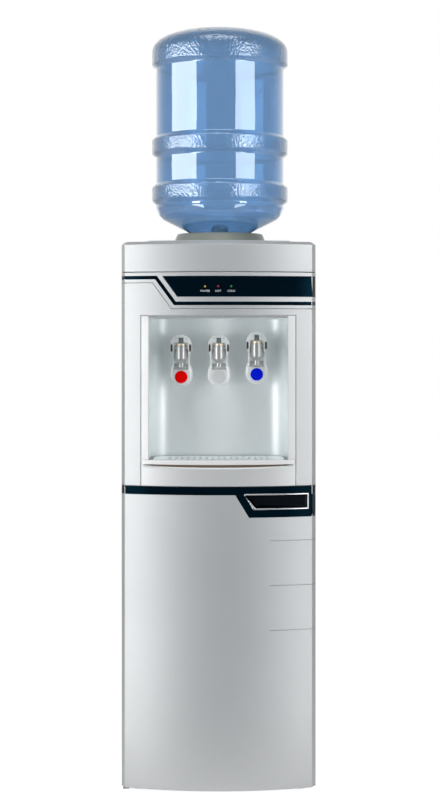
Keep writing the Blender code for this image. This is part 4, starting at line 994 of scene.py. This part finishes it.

# %% [markdown]
# ## Recess frame
#
# A separate pale moulding stands round the recess: an upright strip at each side and an apron below.
# Its lower edge dips under the tray's lip in a shallow crescent, which is the finger gap for lifting
# the tray, so the grid's rows follow that curve. A strip a little behind the gap closes the view there;
# its brown colour is painted shadow under the lip.

# %% Recess frame
strip_width = 0.0142
lip_height = 0.008
lip_half = 0.141
finger_gap = 0.0048
crescent_end = 0.01
pocket_depth = 0.005
pocket_wall = 0.001
pocket_lap = 0.004
pocket_end = 0.006
tray_low, tray_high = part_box("drip_tray")
tray_top = tray_high.z
lip_bottom = tray_top - lip_height
recess_half = frame_high.x - strip_width


def frame_surface():
    """The frame: rows at the crescent's edge, at the mouth's sill and at its top, with rolled borders."""
    reach = along(frame_high.x)
    mouth = along(recess_half)
    dip_half = along(lip_half - moulded_wall)
    curl = edge_radius * curl_shares
    ends = [reach - curl, curl - reach]
    fine = np.linspace(dip_half - crescent_end, dip_half, 12)
    s = lengths(reach, *ends, fine, -fine, [-mouth, mouth])
    sill = lip_bottom - gap
    crescent = sill - finger_gap * np.sqrt(np.clip(1 - (s / dip_half) ** 2, 0, 1))
    rows = [frame_low.z + edge_radius * share for share in curl_shares]
    rows += [rows[-1] + (crescent - rows[-1]) * share for share in np.linspace(0, 1, 8)[1:]]
    rows += [sill]
    cut_row = len(rows) - 2
    rows += list(np.linspace(sill, frame_high.z - edge_radius, 21)[1:-1])
    top_row = len(rows)
    rows += [frame_high.z - edge_radius * share for share in curl_shares[::-1]]
    z = np.stack(np.broadcast_arrays(*rows))
    inset = roll(z - frame_low.z, edge_radius) + roll(frame_high.z - z, edge_radius)
    inset += roll(reach - np.abs(s), edge_radius)
    middle_s, middle_z = cell_middles(s, rows)
    level = np.arange(len(rows) - 1)[:, None]
    dip = (level == cut_row) & (np.abs(middle_s) < dip_half)
    opening = (level > cut_row) & (level < top_row) & (np.abs(middle_s) < mouth)
    return moulding("recess_surround", s, rows, inset, ~(dip | opening))


settle(frame_surface(), "cabinet", "frame_silver", "recess_frame")


def pocket_surface():
    """The back of the finger pocket: a low strip behind the crescent, along the front's curve."""
    s = lengths(along(lip_half - pocket_end))
    z = np.linspace(lip_bottom - finger_gap - pocket_lap, lip_bottom - gap, 5)[:, None]
    return thicken(piece("finger_pocket", [surface(on_front(s[None], z, pocket_depth))]), pocket_wall)


# The strip's brown is painted shadow: the shade under the tray's lip.
settle(pocket_surface(), "cabinet", "frame_silver", look="pocket_painted_shadow")

# %% [markdown]
# ## Recess liner
#
# The liner is stainless sheet bent to a U with large round corners, and a ceiling. It is swept from
# its plan: straight sides, quarter circles, flat back. The round corners gather the light of the soft
# boxes on both sides into the two bright upright bands of the photograph.

# %% Liner
liner_low, liner_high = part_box("recess_liner")
stainless_wall = 0.001
wall_y = liner_high.y - stainless_wall
recess_corner = 0.036
ceiling_bend = 0.003


def recess_plan(margin, front, corner_steps=25):
    """The recess from above, left front round the back to right front, moved in by a margin."""
    half = recess_half - margin
    corner = recess_corner - margin
    angle = np.linspace(math.pi, math.pi / 2, corner_steps)
    back = wall_y - margin
    left = np.stack([corner - half + corner * np.cos(angle), back - corner + corner * np.sin(angle)], -1)
    side = np.linspace(front, left[0, 1], 12)[:-1, None]
    straight = np.concatenate([np.full_like(side, -half), side], -1)
    left = np.concatenate([straight, left])
    across = np.linspace(left[-1, 0], -left[-1, 0], 30)[1:-1, None]
    rear = np.concatenate([across, np.full_like(across, back)], -1)
    return np.concatenate([left, rear, left[::-1] * (-1, 1)])


def liner_surface():
    """The U swept upwards, a small bend at its top, then a ceiling that runs forward to the mouth."""
    front = liner_low.y
    top = liner_high.z - stainless_wall
    rows = [(0.0, z) for z in np.linspace(liner_low.z, top - ceiling_bend, 30)]
    rows += [(ceiling_bend * (1 - math.cos(a)), top - ceiling_bend * (1 - math.sin(a)))
             for a in np.linspace(0, math.pi / 2, 7)[1:]]
    points = [at_height(recess_plan(margin, front), z) for margin, z in rows]
    last = points[-1]
    for share in np.linspace(0, 1, 7)[1:]:
        row = last.copy()
        row[:, 1] += (front - last[:, 1]) * share
        points.append(row)
    return piece("liner_sheet", [surface(np.stack(points))])


settle(thicken(liner_surface(), -stainless_wall), "cabinet", "stainless", "recess_liner")

# %% [markdown]
# ## Drip tray
#
# The tray's lip is a thin bowed strip in front of the frame. Behind it the tray's top runs back to a
# sunken basin, with a ledge that the slotted grille lies on. The lip's section is swept along the
# front; the basin is a stack of loops of its plan. Lip and basin are two pieces, because the basin is
# coloured darker than the lip: its dark grey is painted shade, the grille's shadow over the tray.

# %% Drip tray
grille_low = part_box("drip_grille")[0]
lip_proud = 0.0015
lip_radius = 0.0007
tray_wall = 0.002
tray_setback = 0.016
skirt_margin = 0.009
outside_margin = 0.010
ledge_margin = 0.0069
well_margin = 0.012
basin_bend = 0.004
seam = 0.0001
basin_floor = tray_low.z + tray_wall
tray_front = on_front(0.0, 0.0, moulded_wall)[1] + tray_setback


def lip_surface():
    """The lip and the top behind it: one closed section swept across, shallow beyond the recess."""
    inner = along(recess_half - gap)
    reach = along(lip_half)
    s = lengths(reach, [-inner, -inner - seam, inner, inner + seam])
    angle = np.linspace(0, math.pi / 2, 6)
    under = [(-gap, lip_bottom)] + [(lip_radius * (1 - math.sin(a)) - lip_proud, lip_bottom
                                     + lip_radius * (1 - math.cos(a))) for a in angle]
    over = [(a, tray_top + lip_bottom - b) for a, b in under[::-1]]
    section = np.array(under + over)
    points = on_front(s[None], section[:, 1:], section[:, :1])
    back = points[[-1, 0]].copy()
    deep = np.abs(s) < inner + seam / 2
    back[:, deep, 0] = np.interp(s[deep], length, plan[:, 0])
    back[:, deep, 1] = tray_front + gap
    back[:, ~deep, 1] += seam / 5
    return surface(capped(np.concatenate([points, back])), round_rows=True)


def tray_loop(margin, z):
    """A closed loop of the tray's plan: the recess's U and a straight front."""
    line = recess_plan(margin, tray_front + margin)
    front = np.linspace(line[-1], line[0], 30)[1:-1]
    return at_height(np.concatenate([line, front]), z)


def basin_corner(margin, floor_z, steps):
    """Levels (margin, height) of the quarter circle between the basin's wall and a floor."""
    return [(margin + basin_bend * (1 - math.cos(a)), floor_z + basin_bend * (1 - math.sin(a)))
            for a in np.linspace(0, math.pi / 2, steps)[1:]]


def basin_surface():
    """Loops of (margin, height): outer skirt, rim, grille ledge, basin wall, floor, then its middle."""
    ledge = grille_low.z - gap
    levels = [(skirt_margin, lip_bottom), (gap, lip_bottom), (gap, tray_top - 0.0008),
              (gap + 0.0003, tray_top - 0.0002), (gap + 0.0009, tray_top), (ledge_margin - 0.0007, tray_top),
              (ledge_margin - 0.0002, tray_top - 0.0002), (ledge_margin, tray_top - 0.0007),
              (ledge_margin, ledge), (well_margin - 0.0006, ledge), (well_margin, ledge - 0.0006)]
    levels += [(well_margin, z) for z in np.linspace(ledge - basin_bend, basin_floor + basin_bend, 5)]
    levels += basin_corner(well_margin, basin_floor, 6)
    return surface(drawn_in([tray_loop(*level) for level in levels], (0.4, 0.8, 1.0)), round_columns=True)


def basin_outside():
    """The basin seen from below: loops from the skirt down its outer wall to the underside."""
    levels = [(skirt_margin, lip_bottom), (outside_margin, lip_bottom),
              (outside_margin, tray_low.z + basin_bend)]
    levels += basin_corner(outside_margin, tray_low.z, 5)
    return surface(drawn_in([tray_loop(*level) for level in levels], (0.5, 1.0)), round_columns=True)


settle(piece("drip_tray_lip", [lip_surface()]), "tray", "frame_silver", "drip_tray", look="tray_silver")
basin = piece("drip_tray_basin", [basin_surface(), basin_outside()])
# The basin's dark grey is painted shade: the grille's shadow over the tray.
settle(basin, "tray", "frame_silver", look="basin_painted_shade")

# %% [markdown]
# ## Taps
#
# Each tap is a chrome barrel on a shank through the wall, with a pale ring at its top, a grey valve
# stem and a push lever. Barrel, ring, stem and shank are turned profiles. A profile's point is (radius,
# place along its axis), measured from where the barrel's axis crosses the level of the lever's axle.

# %% Tap bodies
tap_y = -0.103
pivot_y = tap_y - 0.0078
tap_rise = 0.208
cold_rise = 0.005
tap_margin = 0.058
body_radius = 0.01225
nozzle_radius = 0.0065
bore_radius = 0.0045
shank_radius = 0.0085
shank_drop = 0.010
flange_radius = 0.014
axle_radius = 0.0025
axle_half = 0.0175
stem_radius = 0.0045
tap_height = tray_top + tap_rise
tap_pitch = recess_half - tap_margin
tap_places = (("hot", -tap_pitch, tap_height, "red_disc"), ("room", 0.0, tap_height, "pale_disc"),
              ("cold", tap_pitch, tap_height + cold_rise, "blue_disc"))


def barrel_parts(x, z):
    """Barrel with a fine raised band, shank with its flange, and axle, their edges rounded by fillets."""
    barrel = rounded([(0.0, -0.0005), (0.0088, -0.0005), (0.0088, 0.0045), (body_radius, 0.0045),
                      (body_radius, -0.0215), (nozzle_radius, -0.0290), (nozzle_radius, -0.0375),
                      (bore_radius, -0.0375), (bore_radius, -0.0295), (0.0, -0.0295)],
                     [0, 0.0004, 0.0006, 0.0009, 0.0065, 0.0016, 0.0005, 0.0004, 0.0004, 0], 8)
    shank = rounded([(0.0, 0.0), (shank_radius, 0.0), (shank_radius, 0.0387), (flange_radius, 0.0387),
                     (flange_radius, 0.0417), (shank_radius, 0.0417), (shank_radius, 0.0525), (0.0, 0.0525)],
                    [0, 0.001, 0.0015, 0.0012, 0.0004, 0.0003, 0.0006, 0], 6)
    axle = rounded([(0.0, -axle_half), (axle_radius, -axle_half), (axle_radius, axle_half), (0.0, axle_half)],
                   [0, 0.0005, 0.0005, 0], 4)
    band = rounded([(0.0118, -0.0062), (0.01237, -0.0066), (0.01237, -0.0076), (0.0118, -0.0080)],
                   [0, 0.0002, 0.0002, 0], 4)
    return [turned(barrel, (x, tap_y, z), 64), turned(band, (x, tap_y, z), 64),
            turned(shank, (x, tap_y, z - shank_drop), 48, "Y"), turned(axle, (x, pivot_y, z), 24, "X")]


def ring_parts(x, z):
    """The pale ring round the stem: a low collar with rounded edges."""
    ring = rounded([(0.0049, 0.0042), (0.0102, 0.0042), (0.0102, 0.0085), (0.0049, 0.0085)],
                   [0, 0.0002, 0.0011, 0.0008], 7)
    return [turned(np.concatenate([ring, ring[:1]]), (x, tap_y, z), 48)]


def stem_parts(x, z):
    """The valve stem: a rod with a softened head and a fine neck below it."""
    stem = rounded([(0.0, -0.0007), (stem_radius, -0.0007), (stem_radius, 0.0135), (0.0037, 0.0142),
                    (0.0037, 0.0150), (stem_radius, 0.0157), (stem_radius, 0.0192), (0.0, 0.0192)],
                   [0, 0.0003, 0.0003, 0.0002, 0.0002, 0.0003, 0.0009, 0], 5)
    return [turned(stem, (x, tap_y, z), 32)]


for label, x, z, disc_slot in tap_places:
    body = piece(label + "_tap_barrel", barrel_parts(x, z), 40)
    settle(body, "cabinet", "tap_chrome", label + "_tap_body")
    settle(piece(label + "_tap_ring", ring_parts(x, z), 40), "cabinet", "chrome_trim", look="brass_ring")
    stem = piece(label + "_valve_stem", stem_parts(x, z), 40)
    settle(stem, label + "_stem", "stem_grey", label + "_tap_stem")

# %% [markdown]
# ## Push levers
#
# Each lever is two swept forms: an arch whose section travels from one arm over the hood to the other,
# and a paddle whose thickness is a height field over its outline, with a rolled rim. A colour disc lies
# on the paddle, two small screws sit in the hood's face, and a plug sits at the pivot in each arm. The
# plugs' near-black brown is painted shade: the arms' openings at the pivot are dark with shade.
# Their points are measured from the same place as those of the tap.

# %% Lever arch
hood_half = 0.0199
hood_rise = 0.0174
hood_front = 0.0121
hood_back = 0.0125
shoulder = 0.0080
arm_foot = 0.0360
arm_inner = 0.0134
arm_front = 0.0020
arm_back = 0.0115
arm_edge = 0.0016
back_edge = 0.0006
edge_share = 0.42
widening_start = -0.016
widening_run = 0.014
stem_room = 0.0055
roof_height = 0.0208


def resampled(line, count):
    """Points evenly spaced by length along a line."""
    line = np.asarray(line, float)
    run = np.concatenate([[0.0], np.cumsum(np.linalg.norm(np.diff(line, axis=0), axis=1))])
    place = np.linspace(0, run[-1], count)
    return np.stack([np.interp(place, run, line[:, k]) for k in range(line.shape[1])], -1)


def arch_lines():
    """Outer and inner lines of arms and hood, (across, up) from the pivot, matched section by section."""
    outer = rounded([(0.0162, -arm_foot), (0.0167, -0.0130), (hood_half, -0.0040), (hood_half, shoulder)],
                    [0, 0.006, 0.006, 0], 8)
    angle = np.linspace(0, math.pi / 2, 40)
    roof = np.stack([hood_half * np.cos(angle), shoulder + hood_rise * np.sin(angle)], -1)
    inner_arm = np.array([(arm_inner, -arm_foot), (arm_inner, shoulder)])
    inner_roof = rounded([(arm_inner, shoulder), (arm_inner, 0.0105), (stem_room, 0.0105),
                          (stem_room, roof_height), (0.0, roof_height)], [0, 0.0015, 0.0012, 0.0014, 0], 8)
    outer = np.concatenate([resampled(outer, 24)[:-1], resampled(roof, 48)])
    inner = np.concatenate([resampled(inner_arm, 24)[:-1], resampled(inner_roof, 48)])
    return [np.concatenate([line, line[-2::-1] * (-1, 1)]) for line in (outer, inner)]


def arch_surface(x, z):
    """Section round each matched pair: front and back depth glide from the arms to the hood."""
    outer, inner = arch_lines()
    rise = eased(np.clip((outer[:, 1] - widening_start) / widening_run, 0, 1))
    front = -arm_front - (hood_front - arm_front) * rise
    back = arm_back + (hood_back - arm_back) * rise
    over = outer - inner
    width = np.linalg.norm(over, axis=1)[:, None]
    way = over / width
    radius = np.minimum(arm_edge, edge_share * width)
    soft = 0.4 * radius
    corner = np.linspace(0, math.pi / 2, 6)
    rows = [(outer - way * radius * (1 - math.cos(a)), front + radius[:, 0] * (1 - math.sin(a)))
            for a in corner]
    rows += [(inner + way * soft * (1 - math.cos(a)), front + soft[:, 0] * (1 - math.sin(a)))
             for a in corner[::-1]]
    rows += [(inner, back), (outer - way * back_edge, back), (outer, back - back_edge)]
    points = [np.column_stack([x + spot[:, 0], tap_y + depth, z + spot[:, 1]]) for spot, depth in rows]
    return surface(capped(np.stack(points)), round_rows=True)

# %% Lever paddle
paddle_radius = 0.0216
paddle_drop = 0.052
paddle_top = 0.0298
paddle_front = 0.0030
paddle_back = 0.0100
front_rim = 0.0024
back_rim = 0.0016
dish_margin = 0.0030
dish_depth = 0.0007
hollow_depth = 0.0055
hollow_drop = 0.0412
hollow_half = 0.0140
hollow_slope = 0.0016
dish_slope = 0.0015
lip_rise = 0.0006
lip_drop = 0.0420
lip_spread = 0.0009
least_wall = 0.0002


def paddle_surface(x, z):
    """The paddle: half width w(z), a front that steps back behind the nozzle, and a rolled rim.

    w is a circle up to the paddle's middle, paddle_drop below the axle, and narrows to the arms above it.
    """
    down = np.linspace(-math.pi / 2, 0, 26)
    low = np.stack([paddle_radius * np.cos(down), paddle_radius * np.sin(down) - paddle_drop], -1)
    side = rounded([(paddle_radius, -paddle_drop), (0.0205, -0.0400), (0.0167, -0.0300),
                    (arm_inner, -paddle_top), (0.0, -paddle_top)], [0, 0.012, 0.005, 0.001, 0], 10)
    edge = np.concatenate([low[:-1], resampled(side, 70)])
    edge = edge[np.concatenate([[True], np.diff(edge[:, 1]) > weld_distance])]
    up, half = edge[:, 1][:, None], edge[:, 0][:, None]
    across = np.sin(np.linspace(-math.pi / 2, math.pi / 2, 49))[None]
    place = half * across
    in_circle = paddle_radius - np.hypot(place, up + paddle_drop)
    within = np.clip(np.where(up < -paddle_drop, in_circle, half - np.abs(place)), 0, None)
    step_up = np.clip((up + hollow_drop) / hollow_slope, 0, 1)
    step_side = np.clip((hollow_half - np.abs(place)) / hollow_slope, 0, 1)
    hollow = hollow_depth * eased(step_up) * eased(step_side)
    lip = lip_rise * np.exp(-((up + lip_drop) / lip_spread) ** 2) * step_side
    dish = dish_depth * np.clip((within - dish_margin) / dish_slope, 0, 1)
    front = paddle_front + hollow - lip + dish + roll(within, front_rim) - dish_depth
    back = paddle_back + (arm_back - paddle_back) * step_up - roll(within, back_rim)
    front = np.minimum(front, back - least_wall)
    ahead = np.stack(np.broadcast_arrays(x + place, tap_y + front, z + up), -1)
    behind = np.stack(np.broadcast_arrays(x + place, tap_y + back, z + up), -1)[:, ::-1]
    return surface(np.concatenate([ahead, behind], axis=1), round_columns=True)

# %% Lever fittings, and all three levers
disc_radius = 0.0119
disc_drop = 0.0555
screw_radius = 0.0009
screw_side = 0.0092
screw_height = 0.0175
screw_proud = 0.0001
plug_half = 0.0019
plug_tall = 0.0070
plug_side = 0.01745


def disc_parts(x, z):
    """The colour disc: a low dome with a rounded rim."""
    disc = rounded([(disc_radius, 0.0006), (disc_radius, -0.0010), (0.0, -0.0014)], [0, 0.0006, 0], 6)
    return [turned(disc, (x, tap_y + paddle_front, z - disc_drop), 64, "Y")]


def screw_parts(x, z):
    """Two small dark screw heads on the hood's face."""
    head = rounded([(screw_radius, 0.0006), (screw_radius, -0.0002), (0.0, -0.0003)], [0, 0.0002, 0], 4)
    y = tap_y - hood_front - screw_proud
    return [turned(head, (x + side * screw_side, y, z + screw_height), 16, "Y") for side in (-1, 1)]


def plug_parts(x, z):
    """Two pivot plugs, their near-black brown painted shade: loops (share, depth) of a rounded upright bar, a
    little proud of the arms.
    """
    turn = np.linspace(0, 2 * math.pi, 48, endpoint=False)
    bar = np.stack([plug_half * np.sign(np.cos(turn)) * np.abs(np.cos(turn)) ** 0.5,
                    plug_tall * np.sign(np.sin(turn)) * np.abs(np.sin(turn)) ** 0.5], -1)
    stack = [(0.0, -0.0105), (1.0, -0.0105), (1.0, -0.0122), (0.93, -0.01245), (0.8, -0.0125), (0.0, -0.0125)]
    parts = []
    for side in (-1, 1):
        loops = [np.column_stack([x + side * plug_side + share * bar[:, 0], np.full(len(bar), tap_y + depth),
                                  z + share * bar[:, 1]]) for share, depth in stack]
        parts.append(surface(np.stack(loops), round_columns=True))
    return parts


for label, x, z, disc_slot in tap_places:
    lever = piece(label + "_push_lever", [arch_surface(x, z), paddle_surface(x, z)], 45)
    settle(lever, label + "_lever", "lever_silver", label + "_tap_lever")
    disc = piece(label + "_colour_disc", disc_parts(x, z), 40)
    settle(disc, label + "_lever", disc_slot, label + "_tap_disc")
    screws = piece(label + "_lever_screws", screw_parts(x, z), 40)
    settle(screws, label + "_lever", "stem_grey")
    # The plugs' near-black brown is painted shade: the arms' openings at the pivot are dark with shade.
    plugs = piece(label + "_pivot_shade_plugs", plug_parts(x, z), 40)
    settle(plugs, label + "_lever", "stem_grey", look="pivot_painted_shade")

# %% [markdown]
# ## Top cover
#
# The cover is a stack of closed loops: the plan moved in step by step while it rises over a bevel to a
# flat rim and a raised deck. The last loops blend into the circle of the bottle's seat.

# %% Top cover
bottle_low, bottle_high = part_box("water_bottle")
bottle_y = (bottle_low.y + bottle_high.y) / 2
deck_rise = 0.004
cover_top = cover_high.z - deck_rise
deck_top = cover_high.z
bevel_inset = 0.0066
bevel_height = 0.0053
rear_corner = 0.004
seat_hole = 0.0697
deck_inset = 0.046
deck_corner = 0.011
rim_reach = 0.010


def half_loop(line, back, radius):
    """A right half of plan, side and rear with a rounded corner: always the same number of points."""
    corner = fillet(line[-1], (line[-1, 0], back), (0.0, back), radius, 9)
    side = line[-1] + (corner[0] - line[-1]) * np.linspace(0, 1, 14)[1:-1, None]
    rear = np.linspace(corner[-1], (0.0, back), 22)[1:]
    return np.concatenate([line, side, corner, rear])


def rim_half(inset):
    """The body's own plan at an inset small enough to keep the chamfer."""
    return half_loop(half_plan(inset, corner_radius, 0.0, 61)[:-1], cover_high.y - inset, rear_corner)


def deck_half(inset):
    """The deck's plan: the bow and the side meet in one round corner, and the rim's loop is blended into it.

    Each point of the rim's corner goes to the deck's fillet by its share of the number of points.
    """
    centre = np.array([0.0, front_y + bow_radius])
    reach = bow_radius - inset
    x = body_half - inset
    turn = math.asin(x / reach)
    corner = centre + reach * np.array([x / reach, -math.cos(turn)])
    ahead = corner - tangent_step * np.array([math.cos(turn), math.sin(turn)])
    turned_corner = fillet(ahead, corner, corner + (0, 1), deck_corner, 16)
    angle = np.linspace(0, turn - np.linalg.norm(turned_corner[0] - corner) / reach, 61)
    bowed = centre + reach * np.stack([np.sin(angle), -np.cos(angle)], -1)
    return half_loop(np.concatenate([bowed[:-1], turned_corner]), cover_high.y - inset, deck_corner)


def cover_loop(inset, z):
    """A closed loop at an inset: the rim's plan over the bevel, then a blend that ends as the deck's plan."""
    share = np.clip((inset - rim_reach) / (deck_inset - rim_reach), 0.0, 1.0)
    half = rim_half(min(inset, rim_reach)) * (1 - share)
    half += deck_half(max(inset, deck_inset)) * share
    return at_height(np.concatenate([half, half[-2:0:-1] * (-1, 1)]), z)


def cover_surface():
    """Loops of (inset, height) along a filleted profile, then a blend to the seat's circle."""
    profile = rounded([(0.0010, cover_low.z), (0.0, cover_low.z), (0.0, cover_top - bevel_height),
                       (bevel_inset, cover_top), (deck_inset, cover_top), (deck_inset + 0.0003, deck_top),
                       (deck_inset + 0.004, deck_top)], [0, 0.0008, 0.0022, 0.0030, 0.0010, 0.0018, 0], 7)
    loops = [cover_loop(inset, z) for inset, z in divided(profile, profile_step)]
    last = loops[-1]
    around = np.arctan2(last[:, 1] - bottle_y, last[:, 0])
    circle = np.column_stack([seat_hole * np.cos(around), bottle_y + seat_hole * np.sin(around)])
    circle = at_height(circle, deck_top)
    loops += [last + (circle - last) * share for share in np.linspace(0, 1, 9)[1:]]
    return thicken(piece("cover_moulding", [surface(np.stack(loops), round_columns=True)]), moulded_wall)


settle(cover_surface(), "cabinet", "silver_paint", "top_cover")

# %% Bottle collar
collar_low, collar_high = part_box("bottle_collar")
collar_bore = 0.078
collar_foot = 0.0915
collar_rim = 0.0840
collar_profile = rounded([(collar_bore, collar_low.z), (collar_foot, collar_low.z),
                          (collar_rim, collar_high.z), (collar_bore, collar_high.z),
                          (collar_bore, collar_low.z)], [0, 0.0008, 0.0022, 0.0015, 0], 8)
collar = piece("collar_ring", [turned(collar_profile, (0, bottle_y, 0), 128)], 40)
settle(collar, "cabinet", "silver_paint", "bottle_collar", look="collar_grey")

# %% [markdown]
# ## Water bottle
#
# A 19 litre bottle, neck down. Its section is one polyline with a fillet at every bend and a
# superellipse for the dome, moved in along its own normals for the inner wall, then turned. The rings
# and the dome are pebbled on the real bottle: an attribute marks them, and the finish reads it.

# %% Bottle
bottle_wall = 0.002
dome_height = 0.046
dome_power = 2.4
ring_radius = 0.134
waist_radius = 0.126
neck_radius = 0.028
ring_tall = 0.042
ring_slope = 0.008
first_ring = 0.1268
ring_pitch = 0.0931
top_ring_drop = 0.0308
ring_fillets = [0.0035, 0.0045, 0.0045, 0.0035]
pebble_start = 0.0012
pebble_ramp = 0.003
skin_share = 0.96
crown = bottle_high.z - dome_height


def bottle_section():
    """Outer line from the neck's end to the top: radius and height."""
    foot = bottle_low.z
    corners = [(neck_radius, foot), (neck_radius, foot + 0.0562), (0.112, foot + 0.0978),
               (0.1205, foot + 0.1065), (waist_radius, foot + 0.120)]
    radii = [0, 0.005, 0.008, 0.007, 0.004]
    for low in (foot + first_ring, foot + first_ring + ring_pitch):
        corners += [(waist_radius, low), (ring_radius, low + ring_slope),
                    (ring_radius, low + ring_tall - ring_slope), (waist_radius, low + ring_tall)]
        radii += ring_fillets
    low = crown - top_ring_drop
    corners += [(waist_radius, low), (ring_radius, low + ring_slope), (ring_radius, crown)]
    radii += ring_fillets[:2] + [0]
    angle = np.linspace(0, math.pi / 2, 44)[1:]
    dome = np.stack([ring_radius * np.cos(angle) ** (2 / dome_power),
                     crown + dome_height * np.sin(angle) ** (2 / dome_power)], -1)
    dome[-1, 0] = 0.0
    return np.concatenate([divided(rounded(corners, radii, 7), profile_step), dome])


def bottle_surface():
    """Outer and inner wall in one turned line, with the pebbled parts marked point by point."""
    outer = bottle_section()
    inner = beside(outer, bottle_wall)
    inner[:, 0] = np.maximum(inner[:, 0], 0.0)
    inner[-1] = (0.0, outer[-1, 1] - bottle_wall)
    inner[0, 1] = outer[0, 1]
    made = piece("bottle_shell", [turned(np.concatenate([outer[::-1], inner]), (0, bottle_y, 0), 144)], 60)
    x, y, z = spots_of(made.data).T
    radius = np.hypot(x, y - bottle_y)
    on_ring = np.clip((radius - waist_radius - pebble_start) / pebble_ramp, 0, 1)
    on_dome = np.where(z > crown, (radius / ring_radius) ** dome_power
                       + (np.clip(z - crown, 0, None) / dome_height) ** dome_power > skin_share, 0.0)
    marked = made.data.attributes.new("pebbled", "FLOAT", "POINT")
    marked.data.foreach_set("value", np.maximum(on_ring * (z < crown), on_dome).astype(np.float32))
    return made


settle(bottle_surface(), "bottle", "bottle_blue", "water_bottle")

# %% [markdown]
# ## Condenser
#
# Behind the back panel a black tube runs to and fro in long hairpins, with upright wires welded to it.
# The tube is a circle carried along its path, and each wire a thin straight tube of its own.

# %% Condenser tube and wires
def pipe(path, radius, sides):
    """A circle of points carried along a path: centre + r (cos a across + sin a up), ends closed."""
    path = np.asarray(path, float)
    run = np.gradient(path, axis=0)
    run /= np.linalg.norm(run, axis=1)[:, None]
    across = np.cross(run, (0.0, 1.0, 0.0))
    flat = np.linalg.norm(across, axis=1) < 0.5
    across[flat] = np.cross(run[flat], (0.0, 0.0, 1.0))
    across /= np.linalg.norm(across, axis=1)[:, None]
    up = np.cross(across, run)
    angle = np.linspace(0, 2 * math.pi, sides, endpoint=False)[:, None]
    rings = path[:, None] + radius * (np.cos(angle) * across[:, None] + np.sin(angle) * up[:, None])
    points = np.concatenate([np.broadcast_to(path[:1, None], rings[:1].shape), rings,
                             np.broadcast_to(path[-1:, None], rings[:1].shape)])
    return surface(points, round_columns=True)


wires_low, wires_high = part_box("condenser_wires")
tube_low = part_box("condenser_tube")[0]
tube_radius = 0.0032
tube_bend = 0.006
tube_margin = 0.012
tube_end_room = 0.0005
wire_radius = 0.0009
grid_room = 0.0001
pass_pitch = 0.075
wire_pitch = 0.011
bracket_radius = 0.0012
bracket_side = 0.006
bracket_arm = 0.012
bracket_margin = 0.010


def hairpins():
    """The tube's path: level passes joined by half circles, alternately at the right and the left."""
    depth = wires_high.y - 2 * wire_radius - tube_radius
    reach = wires_high.x - tube_margin - 2 * tube_radius - pass_pitch / 2
    passes = int((wires_high.z - wires_low.z - pass_pitch) // pass_pitch)
    first = (wires_high.z + wires_low.z - (passes - 1) * pass_pitch) / 2
    line = []
    for i in range(passes):
        side = 1 if i % 2 == 0 else -1
        z = first + i * pass_pitch
        line.append(np.column_stack([np.linspace(-side * reach, side * reach, 24), np.full(24, z)]))
        if i < passes - 1:
            angle = np.linspace(-math.pi / 2, math.pi / 2, 14)[1:-1]
            line.append(np.column_stack([side * (reach + pass_pitch / 2 * np.cos(angle)),
                                         z + pass_pitch / 2 * (1 + np.sin(angle))]))
    line = np.concatenate(line)
    path = np.column_stack([line[:, 0], np.full(len(line), depth), line[:, 1]])
    start, end = path[0].copy(), path[-1].copy()
    start[1] = end[1] = tube_low.y + tube_end_room
    return np.concatenate([[start], fillet(start, path[0], path[1], tube_bend, 7), path[2:-2],
                           fillet(path[-2], path[-1], end, tube_bend, 7), [end]])


condenser = piece("condenser_hairpins", [pipe(hairpins(), tube_radius, 14)], 60)
settle(condenser, "cabinet", "black_paint", "condenser_tube")

wire_count = int((2 * wires_high.x - wire_pitch) // wire_pitch)
wire_x = (np.arange(wire_count + 1) - wire_count / 2) * wire_pitch
wire_y = wires_high.y - wire_radius - grid_room
wire_heights = (wires_low.z, (wires_low.z + wires_high.z) / 2, wires_high.z)
wire_parts = [pipe([(x, wire_y, z) for z in wire_heights], wire_radius, 8) for x in wire_x]
for z in (wires_low.z + bracket_margin, wires_high.z - bracket_margin):
    for side in (-1, 1):
        x = side * (wires_high.x - bracket_side)
        bracket = np.array([(x, wires_low.y, z), (x, wires_high.y - 0.001, z),
                            (x - side * bracket_arm, wires_high.y - bracket_radius, z)])
        wire_parts.append(pipe(divided(bracket, 0.004), bracket_radius, 10))
settle(piece("condenser_grid", wire_parts, 60), "cabinet", "black_paint", "condenser_wires")
